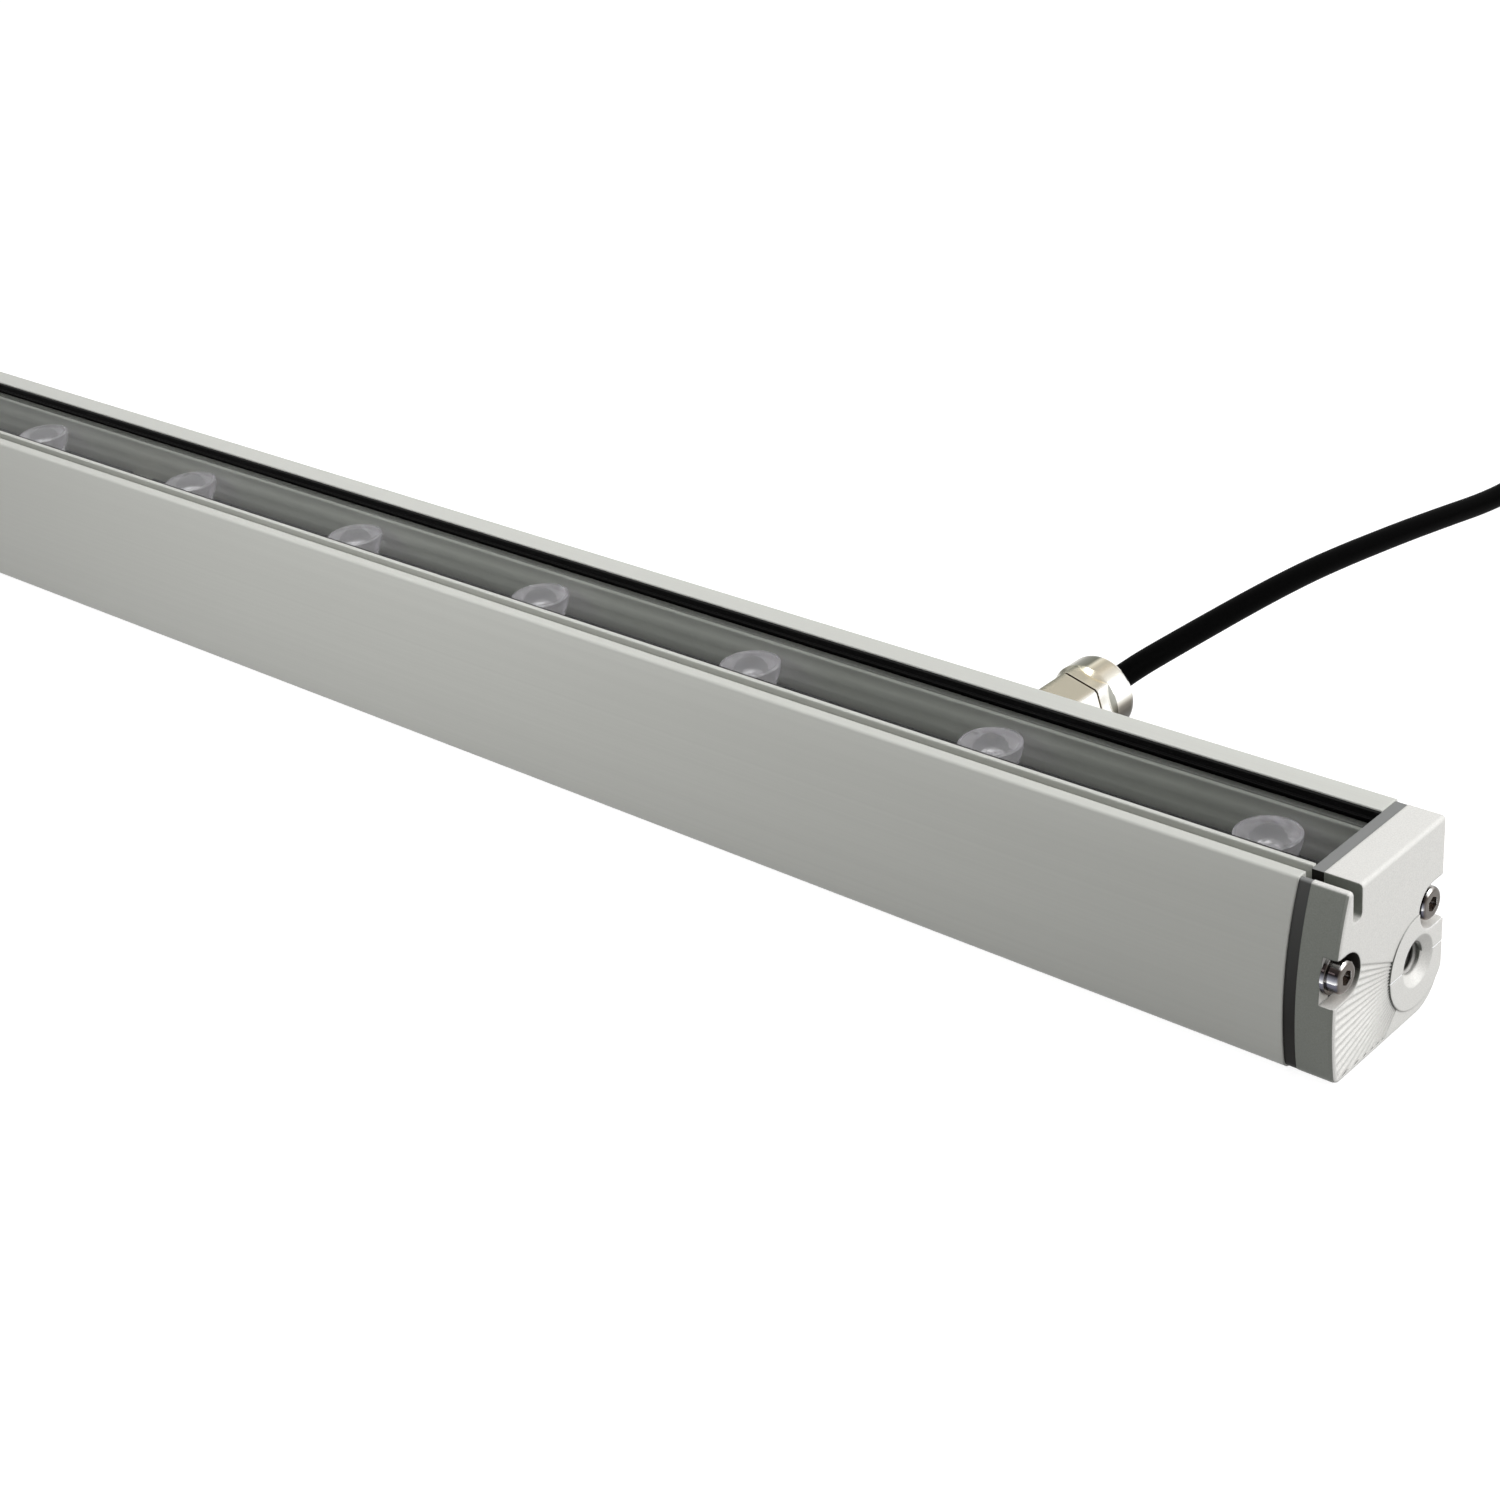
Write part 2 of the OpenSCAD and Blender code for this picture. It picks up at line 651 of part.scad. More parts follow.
module led_board_right() color([0.4, 0.41, 0.42])
    translate([0, 0, board_z]) linear_extrude(board_t) board_plate(board_screw_r + hole_fit);

module led_board_left() mirror([1, 0, 0]) led_board_right();

module heat_pads() color([0.55, 0.57, 0.6]) for (side = [0, 1])
    mirror([side, 0, 0]) translate([0, 0, web_top]) linear_extrude(pad_t) board_plate(board_head_r);

module board_screws() color([0.6, 0.6, 0.6]) for (x = board_screw_x())
    translate([x, board_screw_y, board_top]) difference() {
        union() {
            cylinder(r1 = board_head_r, r2 = board_head_r * 0.8, h = board_head_h, $fn = 32);
            translate([0, 0, web_z - board_top])
                cylinder(r = board_screw_r, h = board_top - web_z + fit, $fn = 24);
        }
        for (a = [0, 90]) rotate(a) translate([0, 0, board_head_h])
            cube([board_head_r, board_head_h / 3, board_head_h], center = true);
    }

module led_packages() color([0.85, 0.83, 0.6]) for (x = LED_X)
    translate([x, glass_y, board_top]) {
        translate([-led_w / 2, -led_w / 2, 0]) cube([led_w, led_w, led_h]);
        intersection() {
            translate([0, 0, led_h]) sphere(r = dome_r, $fn = 32);
            cylinder(r = led_w, h = led_h + dome_r, $fn = 32);
        }
    }

// Side of the lens body, which flares like a bowl from the foot to the rim
function flare(low, high, n) =
    [for (i = [0:n]) [foot_r + (lens_r - foot_r) * pow(i / n, 0.62), low + (high - low) * i / n]];

module lens() color([0.85, 0.85, 0.92, 0.5]) {
    lens_h = glass_z - lens_gap - board_top;
    crown_sphere_r = (lens_r * lens_r + crown_h * crown_h) / (2 * crown_h);
    crown_a = asin(lens_r / crown_sphere_r);
    rotate_extrude($fn = 64) polygon(concat(
        [[hollow_r, 0]],
        flare(0, lens_h - crown_h - rim_h, 8),
        [for (i = [0:6]) [crown_sphere_r * sin(crown_a * (1 - i / 6)),
            lens_h - crown_sphere_r * (1 - cos(crown_a * (1 - i / 6)))]],
        [[0, hollow_depth]],
        [for (i = [1:4]) [hollow_r * sin(90 * i / 4), hollow_depth - hollow_r * (1 - cos(90 * i / 4)) / 2]]));
}

module lens_at(i) translate([LED_X[i], glass_y, board_top]) lens();

module wire_grommet() color([0.06, 0.06, 0.06]) translate([0, glass_y, 0])
    rotate_extrude($fn = 48) {
        span(grommet_bore, web_z - grommet_lip, grommet_r - fit, web_top + grommet_lip);
        span(grommet_bore, web_z - grommet_lip, grommet_r + grommet_lip, web_z);
        span(grommet_bore, web_top, grommet_r + grommet_lip, web_top + grommet_lip);
    }

/* Wires and cables */

function unit(v) = v / norm(v);
// Direction of a polyline at one of its points, as the mean of the two stretches there
function heading(p, i) = let (last = len(p) - 1)
    unit((i < last ? unit(p[i + 1] - p[i]) : [0, 0, 0]) + (i > 0 ? unit(p[i] - p[i - 1]) : [0, 0, 0]));
// Slope of the smooth curve at one of its points
function slope(p, i) = let (before = p[max(i - 1, 0)], after = p[min(i + 1, len(p) - 1)])
    (after - before) / (norm(after - p[i]) + norm(p[i] - before));
// Smooth curve through a list of points, with n steps to a stretch
function spline(p, n) = concat([for (k = [0:len(p) - 2], j = [0:n - 1])
    let (way = p[k + 1] - p[k], t = j / n)
    p[k] + t * t * (3 - 2 * t) * way
        + norm(way) * t * (1 - t) * ((1 - t) * slope(p, k) - t * slope(p, k + 1))], [p[len(p) - 1]]);

// Round tube along a path: up is a direction that the path never takes
module tube(p, r, sides, up) {
    n = len(p);
    rings = [for (i = [0:n - 1]) let (t = heading(p, i), u = unit(cross(t, up)), v = cross(t, u))
        for (j = [0:sides - 1]) p[i] + r * (cos(360 * j / sides) * u + sin(360 * j / sides) * v)];
    walls = [for (i = [0:n - 2], j = [0:sides - 1])
        let (a = i * sides + j, b = i * sides + (j + 1) % sides)
        for (face = [[a, b, a + sides], [b, b + sides, a + sides]]) face];
    ends = [[for (j = [sides - 1:-1:0]) j], [for (j = [0:sides - 1]) (n - 1) * sides + j]];
    polyhedron(rings, concat(walls, ends));
}

// Two wires from the output terminal, up through the grommet and over to one board each
module link_wires() color([0.6, 0.1, 0.08]) for (side = [-1, 1]) {
    entry_z = driver_top + terminal_h / 3;
    exit_x = driver_x - output_l * 3 / 4;
    y = glass_y + side * (wire_r + hole_fit);
    arch = (board_gap / 2 + 2 * wire_r) / 2;
    tube(spline(concat([
        [driver_x + output_l / 4, glass_y + side * way_w / 2, entry_z],
        [exit_x, glass_y + side * way_w / 2, entry_z],
        [exit_x * 0.3, y, entry_z + (web_z - entry_z) * 0.3],
        [0, y, web_z]],
        [for (a = [180:-45:0]) [side * arch * (1 + cos(a)), y, board_top + arch * sin(a)]]), 4),
        wire_r, 8, [0, 1, 0]);
}

/* Driver */

module driver_board() color([0.1, 0.35, 0.2])
    block([driver_x, -driver_half_w, driver_z], [driver_x + driver_l, driver_half_w, driver_top]);

// Terminal block with wire entries on one side and screw wells on top
module terminal(ways, l) {
    entry_r = core_d / 2 + hole_fit;
    difference() {
        translate([0, -ways * way_w / 2, 0]) cube([l, ways * way_w, terminal_h]);
        for (i = [0:ways - 1]) translate([l, (i - (ways - 1) / 2) * way_w, 0]) {
            translate([-l * 3 / 4, 0, terminal_h / 3]) rotate([0, 90, 0])
                cylinder(r = entry_r, h = l, $fn = 24);
            translate([-l / 2, 0, terminal_h * 2 / 3]) cylinder(r = way_w / 3, h = terminal_h, $fn = 24);
        }
    }
}

module input_terminal() color([0.2, 0.45, 0.25])
    translate([driver_x + driver_l - input_l - fit, 0, driver_top]) terminal(3, input_l);

module output_terminal() color([0.2, 0.45, 0.25])
    translate([driver_x + output_l + fit, glass_y, driver_top]) mirror([1, 0, 0]) terminal(2, output_l);

// Ferrite core with a round winding in its two windows
module driver_transformer() color([0.16, 0.16, 0.17]) translate([driver_x + driver_l / 2, 0, driver_top]) {
    leg = core_h / 3;
    difference() {
        block([-core_l / 2, -core_w / 2, 0], [core_l / 2, core_w / 2, core_h]);
        block([leg - core_l / 2, -core_w, leg], [core_l / 2 - leg, core_w, core_h - leg]);
    }
    translate([0, 0, leg + fit]) cylinder(r = core_l / 2 - leg - fit, h = core_h - 2 * (leg + fit), $fn = 48);
}

// Can with a crimped waist and a rounded top
module can() {
    crimp = cap_r / 8;
    rotate_extrude($fn = 48) polygon([[0, 0], [cap_r, 0], [cap_r, 2 * crimp], [cap_r - crimp, 3 * crimp],
        [cap_r, 4 * crimp], [cap_r, cap_h - crimp], [cap_r - crimp, cap_h], [0, cap_h]]);
}

// Places of the capacitors along the board and across it
can_shares = [[0.18, -0.8], [0.18, 0.8], [0.72, 1]];
module driver_capacitors() color([0.15, 0.17, 0.3]) for (share = can_shares)
    translate([driver_x + share[0] * driver_l, share[1] * (rib_y - cap_r * 1.1), driver_top]) can();

module driver_chokes() color([0.6, 0.35, 0.15]) for (share = [0.3, 0.82])
    translate([driver_x + share * driver_l, 0, driver_top + choke_wind_r])
        rotate_extrude($fn = 48) translate([choke_r, 0]) circle(r = choke_wind_r, $fn = 24);

// Two transistors that stand against a sheet-metal cooler
module driver_transistors() color([0.3, 0.3, 0.32]) translate([driver_x + driver_l * 0.62, 0, driver_top]) {
    for (side = [-1, 1]) translate([0, side * transistor_w * 0.7, 0]) difference() {
        union() {
            translate([0, -transistor_w / 2, 0]) cube([transistor_t, transistor_w, transistor_h * 2 / 3]);
            translate([0, -transistor_w / 2, 0]) cube([transistor_t / 3, transistor_w, transistor_h]);
        }
        translate([-over, 0, transistor_h * 5 / 6]) rotate([0, 90, 0])
            cylinder(r = transistor_h / 9, h = transistor_t + over, $fn = 24);
    }
    translate([-cooler_t, -transistor_w * 1.4, 0]) cube([cooler_t, transistor_w * 2.8, transistor_h]);
}

/* Gland */

// A round piece of the gland: its outline in radius and distance along Y
module turned(points) {
    translate([gland_x, 0, gland_z]) rotate([-90, 0, 0]) rotate_extrude($fn = 64) polygon(points);
}

// Hexagon bar along Y with broken corners, chamfered down to the flats at its near end if asked
module hex_bar(y0, y1, chamfered) {
    bevel = fit * 3;
    near_r = chamfered ? gland_af / 2 : corner_r - bevel;
    intersection() {
        translate([gland_x, y0, gland_z]) rotate([-90, 0, 0]) rotate(gland_turn)
            cylinder(r = corner_r, h = y1 - y0, $fn = 6);
        turned([[0, y0], [near_r, y0], [corner_r, y0 + corner_r - near_r],
            [corner_r, y1 - bevel], [corner_r - bevel, y1], [0, y1]]);
    }
}

// The thread runs on inside the nut, where the seal sits in its mouth
module gland_body() color([0.78, 0.75, 0.68]) difference() {
    mouth_y = nut_y - gland_nut_l / 3;
    bore_r = cable_r + hole_fit;
    union() {
        hex_bar(gland_y, gland_y + gland_body_l, true);
        turned([[0, entry_y], [gland_thread_r, entry_y], [gland_thread_r, gland_y + fit], [0, gland_y + fit]]);
        turned([[0, gland_y], [gland_thread_r, gland_y], [gland_thread_r, nut_y + gland_nut_l / 3],
            [0, nut_y + gland_nut_l / 3]]);
    }
    turned([[0, entry_y - over], [bore_r, entry_y - over], [bore_r, mouth_y], [seal_r + fit, mouth_y],
        [seal_r + fit, exit_y], [0, exit_y]]);
}

module gland_oring() color([0.05, 0.05, 0.05]) {
    inner_r = gland_thread_r + fit;
    turned([[inner_r, seat_y], [gland_af / 2, seat_y], [gland_af / 2, gland_y], [inner_r, gland_y]]);
}

module gland_seal() color([0.06, 0.06, 0.06]) {
    low_y = nut_y - gland_nut_l / 3;
    neck_r = seal_r * 0.75;
    turned([[cable_r, low_y], [seal_r, low_y], [seal_r, nut_y + gland_nut_l / 3],
        [neck_r, exit_y - gland_nut_l / 6], [neck_r, exit_y], [cable_r, exit_y]]);
}

// Hexagon that runs out in a round barrel with a domed end
module gland_nut() color([0.8, 0.77, 0.7]) {
    rim = seal_r * 0.75 + fit;
    lip = rim + gland_nut_l / 24;
    shoulder_y = nut_y + gland_hex_l;
    thread_end = nut_y + gland_nut_l / 3;
    difference() {
        union() {
            hex_bar(nut_y, shoulder_y + over, false);
            turned(concat([[0, shoulder_y], [gland_af / 2, shoulder_y], [corner_r, shoulder_y + over]],
                [for (a = [0:15:90]) [lip + (corner_r - lip) * cos(a), exit_y - gland_dome_r * (1 - sin(a))]],
                [[0, exit_y]]));
        }
        turned([[0, nut_y - over], [gland_thread_r + fit, nut_y - over],
            [gland_thread_r + fit, thread_end], [seal_r + fit, thread_end],
            [rim, exit_y - gland_nut_l / 6], [rim, exit_y + over], [0, exit_y + over]]);
    }
}

/* Cable */

// The sheath inside the gland
module cable_entry() color([0.05, 0.05, 0.05])
    turned([[0, entry_y], [cable_r, entry_y], [cable_r, exit_y], [0, exit_y]]);

// Three cores that turn down behind the chamber wall, then run along to the input terminal
module supply_cores() color([0.35, 0.25, 0.15]) for (i = [-1:1]) {
    bundle = core_d + fit / 2;
    bend = 2.7 * core_d;
    bend_r = bend + i * bend / 2;
    drop_y = entry_y - core_d;
    turn_z = web_z - 1.5 * core_d;
    end = [driver_x + driver_l - input_l / 2, i * way_w, driver_top + terminal_h / 3];
    tube(spline([
        [gland_x + i * bundle, entry_y, gland_z],
        [gland_x + i * bundle, entry_y - core_d * 0.7, gland_z - core_d / 4],
        [gland_x + i * bundle, drop_y, gland_z - core_d],
        [gland_x - bend + bend_r, drop_y, turn_z],
        [gland_x - bend + bend_r * cos(45), drop_y, turn_z - bend_r * sin(45)],
        [gland_x - bend, drop_y, turn_z - bend_r],
        [gland_x - 2 * bend, drop_y - core_d / 2, turn_z - bend_r],
        end + [input_l * 1.5, 0, 0],
        end], 4), core_d / 2, 8, [1, -3, -1]);
}

RUN = concat([[gland_x, exit_y, gland_z]], [for (p = RUN_POINTS) [gland_x, p[0], p[1]]],
    [[gland_x, coil_y - 1.5 * cable_d, coil_z], [gland_x, coil_y - cable_d, coil_z]]);
module cable_run() color([0.05, 0.05, 0.05]) tube(RUN, cable_r, 10, [1, 0, 0]);

// Point on the coil's centre line after a number of turns, which run clockwise and inwards
function coil_point(turns) = let (r = coil_r - coil_pitch * turns, a = 180 - 360 * turns)
    [gland_x + coil_r + r * cos(a), coil_y + r * sin(a), coil_z];
COIL = let (steps = round(24 * coil_turns), last = coil_point(coil_turns),
            way = unit(coil_point(coil_turns + coil_turns / steps) - last))
    concat([coil_point(0) - [0, cable_d, 0]], [for (i = [0:steps]) coil_point(coil_turns * i / steps)],
        [last + cable_d * way]);

// Least gap between the coil and itself, taken between points at least half a turn apart
function self_gap(p, apart) =
    min([for (i = [0:len(p) - 1], j = [i + apart:1:len(p) - 1]) norm(p[i] - p[j])]) - cable_d;
function stretches(p) = [for (i = [1:len(p) - 1]) norm(p[i] - p[i - 1])];
function path_length(p) = stretches(p) * [for (s = stretches(p)) 1];
echo(least_coil_gap = self_gap(COIL, 12));
echo(run_length = path_length(RUN), coil_length = path_length(COIL));

module cable_coil() color([0.05, 0.05, 0.05]) tube(COIL, cable_r, 6, [0, 0, 1]);

// Band round the three neighbouring turns on the coil's far side, with a small lock on top
module coil_tie() color([0.08, 0.08, 0.08]) {
    inner_x = gland_x + 2 * coil_r - 2.5 * coil_pitch - cable_r - tie_fit;
    outer_x = gland_x + 2 * coil_r - coil_pitch / 2 + cable_r + tie_fit;
    low = coil_z - cable_r - tie_fit;
    high = coil_z + cable_r + tie_fit;
    translate([0, coil_y - tie_w / 2, 0]) {
        difference() {
            block([inner_x - tie_t, 0, low - tie_t], [outer_x + tie_t, tie_w, high + tie_t]);
            block([inner_x, -over, low], [outer_x, tie_w + over, high]);
        }
        block([outer_x - 2 * tie_w, -tie_t, high + tie_t / 2], [outer_x - tie_w, tie_w + tie_t, high + tie_w]);
        translate([outer_x - 2 * tie_w, 0, high + tie_w / 2])
            block([-2 * tie_w, 0, 0], [tie_t, tie_w, tie_t]);
    }
}

// Bare cores at the free end, which curl inwards, come down to the surface and splay
module cable_cores() color([0.3, 0.3, 0.5]) {
    last = COIL[len(COIL) - 1];
    way = unit(last - COIL[len(COIL) - 2]);
    inward = [way[1], -way[0], 0];
    // Each row: along, inward, sideways, out of the bundle's middle, and down
    tail_shares = [[0, 0, 0.5, 1, 0], [0.12, 0.01, 0.66, 0.9, 0.03], [0.24, 0.09, 0.9, 0.6, 0.3],
        [0.36, 0.23, 1.15, 0.15, 0.75], [0.47, 0.42, 1.6, 0, 1], [0.54, 0.65, 2.2, 0, 1]];
    step = core_d + fit;
    middle = [for (share = tail_shares) tail_l * (share[0] * way + share[1] * inward)];
    for (i = [-1:1]) tube(spline([for (k = [0:len(middle) - 1]) let (share = tail_shares[k])
        last + middle[k] + i * step * share[2] * cross(heading(middle, k), [0, 0, 1])
            + [0, 0, step / sqrt(i == 0 ? 3 : 12) * (i == 0 ? share[3] : -share[3])
                - (coil_z - core_d / 2) * share[4]]], 3), core_d / 2, 8, [0, 0, 1]);
}

housing_profile();
front_glass();
glazing_bead_front();
glazing_bead_rear();
glass_seat_tapes();
end_cap_right();
end_cap_left();
end_gasket_right();
end_gasket_left();
cap_screws_right();
cap_screws_left();
led_board_right();
led_board_left();
heat_pads();
board_screws();
led_packages();
wire_grommet();
link_wires();
driver_board();
input_terminal();
output_terminal();
driver_transformer();
driver_capacitors();
driver_chokes();
driver_transistors();
gland_body();
gland_oring();
gland_seal();
gland_nut();
cable_entry();
supply_cores();
cable_run();
cable_coil();
coil_tie();
cable_cores();
for (i = [0:led_count - 1]) lens_at(i);
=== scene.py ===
"""Linear wall washer light for outdoor use, dressed on the frame of its solid model.

X runs along the light, Y points to its rear and Z points up. The origin lies under the
middle of the housing, on the surface that it stands on. Lengths in the classes are in
millimetres, and Blender's own units are metres.
"""

import logging
import math
from dataclasses import dataclass
from enum import Enum
from typing import Any, Sequence

import bmesh
import bpy
from mathutils import Matrix, Vector


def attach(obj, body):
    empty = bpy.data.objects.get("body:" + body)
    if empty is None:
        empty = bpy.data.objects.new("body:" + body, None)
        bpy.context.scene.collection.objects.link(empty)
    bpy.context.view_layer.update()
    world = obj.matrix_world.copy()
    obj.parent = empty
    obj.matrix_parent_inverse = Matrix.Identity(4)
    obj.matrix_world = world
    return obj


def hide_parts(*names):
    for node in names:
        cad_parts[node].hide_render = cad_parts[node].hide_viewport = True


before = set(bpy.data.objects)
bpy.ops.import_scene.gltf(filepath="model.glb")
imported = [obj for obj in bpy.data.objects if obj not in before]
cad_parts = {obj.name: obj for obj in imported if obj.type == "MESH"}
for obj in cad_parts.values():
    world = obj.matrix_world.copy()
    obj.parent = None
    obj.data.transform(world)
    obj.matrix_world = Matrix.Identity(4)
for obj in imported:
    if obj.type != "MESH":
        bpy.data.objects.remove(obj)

logging.basicConfig(level=logging.INFO, format="%(name)s: %(message)s")
log = logging.getLogger("wall_washer")

MM = 0.001
BODY = "root"
# Points closer than this, in metres, are one point
SAME_POINT = 1e-6
# Degrees between faces: for one flat face, for a shaded edge and for a broken edge
FLAT_ANGLE, SHARP_ANGLE, BROKEN_ANGLE = 0.5, 32, 35
# Rays by which a material finds the edges and creases near a point
EDGE_SAMPLES = 6
UP = Vector((0, 0, 1))
# The inputs of a node that takes a value from one range to another
RANGES = ("From Min", "From Max", "To Min", "To Max")

Pair = tuple[float, float]
Point = tuple[float, float, float]
Tree = bpy.types.NodeTree
Node = bpy.types.Node
Socket = bpy.types.NodeSocket
Source = Node | Socket
Links = dict[str | int, Source]
Settings = dict[str | int, Any]


class Side(Enum):
    """An end of the light, as the sign of its X."""

    RIGHT = 1
    LEFT = -1

    @property
    def word(self) -> str:
        """The end's name as the solids have it."""
        return self.name.lower()


def linear(colour: str) -> tuple[float, float, float, float]:
    """Turn an sRGB hex colour into linear light.

    Args:
        colour: Colour as "#RRGGBB".

    Returns:
        Linear red, green and blue, and full alpha.
    """
    parts = [int(colour[i : i + 2], 16) / 255 for i in (1, 3, 5)]
    red, green, blue = [c / 12.92 if c <= 0.04045 else ((c + 0.055) / 1.055) ** 2.4 for c in parts]
    return red, green, blue, 1.0


def add_node(
    tree: Tree, kind: str, settings: Settings | None = None, links: Links | None = None
) -> Node:
    """Add a node with its settings and links.

    Args:
        tree: Node tree that gets the node.
        kind: Blender's name for the type of node.
        settings: Values by the name of a property, or by the name or number of an input.
        links: What feeds the node, by the name or number of its input: a socket, or a
            node for its first output.

    Returns:
        The new node.
    """
    node = tree.nodes.new(kind)
    for name, value in (settings or {}).items():
        if isinstance(name, int) or name in node.inputs:
            node.inputs[name].default_value = value
        else:
            setattr(node, name, value)
    for name, source in (links or {}).items():
        socket = source.outputs[0] if isinstance(source, Node) else source
        tree.links.new(socket, node.inputs[name])
    return node


@dataclass(frozen=True)
class Finish:
    """A surface finish, wired once and shared by every piece that has it.

    Its fields are the material's name, its sRGB colour, its roughness, the radius in
    millimetres to which edges look rounded, the shader's metallic share and specular
    level, how far its pattern moves the roughness, and the depth of its relief in
    millimetres.
    """

    label: str
    colour: str
    roughness: float
    rounding: float = 0.0
    metallic: float = 0.0
    specular: float = 0.5
    waver: Pair | None = None
    depth: float = 0.01

    def material(self) -> bpy.types.Material:
        """Return the finish's material, which is made the first time.

        Returns:
            The material, ready for a piece's slot.
        """
        known = bpy.data.materials.get(self.label)
        if known:
            return known
        made = bpy.data.materials.new(self.label)
        made.use_nodes = True
        made.node_tree.nodes.clear()
        self.wire(made.node_tree)
        return made

    def wire(self, tree: Tree) -> None:
        """Wire the finish in an empty tree; each finish has its own way."""
        raise NotImplementedError

    def pattern(
        self, tree: Tree, size: float, stretch: Sequence[float] = (1, 1, 1), detail: float = 3.0
    ) -> Socket:
        """Wire an uneven pattern that lies on the piece.

        Args:
            tree: The material's nodes.
            size: Width of the pattern's features in millimetres.
            stretch: How many times longer they are along X, Y and Z.
            detail: Number of finer layers in the pattern.

        Returns:
            Socket that gives the pattern, from 0 to 1.
        """
        place = add_node(tree, "ShaderNodeTexCoord").outputs["Object"]
        scale = [1 / (size * MM * s) for s in stretch]
        scaled = add_node(tree, "ShaderNodeMapping", {"Scale": scale}, {"Vector": place})
        layers = {"Scale": 1.0, "Detail": detail}
        return add_node(tree, "ShaderNodeTexNoise", layers, {"Vector": scaled}).outputs["Fac"]

    def facing(self, tree: Tree, normal: str, axis: str) -> Socket:
        """Wire how far the shaded "Normal" or the face's "True Normal" looks along an axis."""
        way = add_node(tree, "ShaderNodeNewGeometry").outputs[normal]
        return add_node(tree, "ShaderNodeSeparateXYZ", links={"Vector": way}).outputs[axis]

    def blend(
        self, tree: Tree, base: str | Source, over: str, share: Source, limits: Pair = (0.0, 1.0)
    ) -> Node:
        """Wire a colour that lies over another by a share.

        Args:
            tree: The material's nodes.
            base: The colour under it, as sRGB hex or from a node.
            over: The colour over it, as sRGB hex.
            share: What it goes by.
            limits: The share at which it begins and at which it is full.

        Returns:
            Node that gives the colour.
        """
        level = add_node(tree, "ShaderNodeMapRange", dict(zip(RANGES, limits)), {"Value": share})
        settings: Settings = {"Color2": linear(over)}
        links: Links = {"Fac": level}
        if isinstance(base, str):
            settings["Color1"] = linear(base)
        else:
            links["Color1"] = base
        return add_node(tree, "ShaderNodeMixRGB", settings, links)

    def relief(self, tree: Tree, height: Source) -> Node:
        """Wire a fine relief over the finish's rounded edges.

        Args:
            tree: The material's nodes.
            height: Pattern that the relief follows.

        Returns:
            Node that gives the normal.
        """
        links: Links = {"Height": height}
        if self.rounding:
            round_edges = {"Radius": self.rounding * MM, "samples": EDGE_SAMPLES}
            links["Normal"] = add_node(tree, "ShaderNodeBevel", round_edges)
        return add_node(tree, "ShaderNodeBump", {"Distance": self.depth * MM}, links)

    def shade(self, tree: Tree, colour: Source, marks: Source) -> None:
        """Wire the main shader and the output, with a pattern in the gloss and relief.

        Args:
            tree: The material's nodes.
            colour: Colour of the surface.
            marks: Pattern that the gloss and the relief follow.
        """
        links: Links = {"Base Color": colour, "Normal": self.relief(tree, marks)}
        if self.waver:
            low, high = (self.roughness + step for step in self.waver)
            limits = {"To Min": low, "To Max": high}
            links["Roughness"] = add_node(tree, "ShaderNodeMapRange", limits, {"Value": marks})
        settings = {
            "Base Color": linear(self.colour),
            "Metallic": self.metallic,
            "Roughness": self.roughness,
            "Specular IOR Level": self.specular,
        }
        shader = add_node(tree, "ShaderNodeBsdfPrincipled", settings, links)
        add_node(tree, "ShaderNodeOutputMaterial", links={"Surface": shader})


@dataclass(frozen=True)
class AnodisedAluminium(Finish):
    """Extruded aluminium, etched and clear anodised."""

    # The etch leaves an even silky grey, and the die leaves faint straight lines along
    # the whole length; they are drawn about 0.8 mm wide, wider than real ones, to show.
    shade_colour: str = "#C9CAC4"
    metallic: float = 0.12
    waver: Pair = (-0.05, 0.06)
    depth: float = 0.004
    line_width: float = 0.8
    line_stretch: float = 900.0
    cloud_width: float = 60.0
    cloud_stretch: float = 4.0
    tint_span: Pair = (0.1, 0.4)

    def wire(self, tree: Tree) -> None:
        """Wire the silky grey and its die lines.

        Args:
            tree: The material's nodes.
        """
        lines = self.pattern(tree, self.line_width, (self.line_stretch, 1, 1), detail=4)
        clouds = self.pattern(tree, self.cloud_width, (self.cloud_stretch, 1, 1), detail=2)
        both = add_node(tree, "ShaderNodeMath", {"operation": "MULTIPLY"}, {0: lines, 1: clouds})
        colour = self.blend(tree, self.shade_colour, self.colour, both, self.tint_span)
        self.shade(tree, colour, lines)


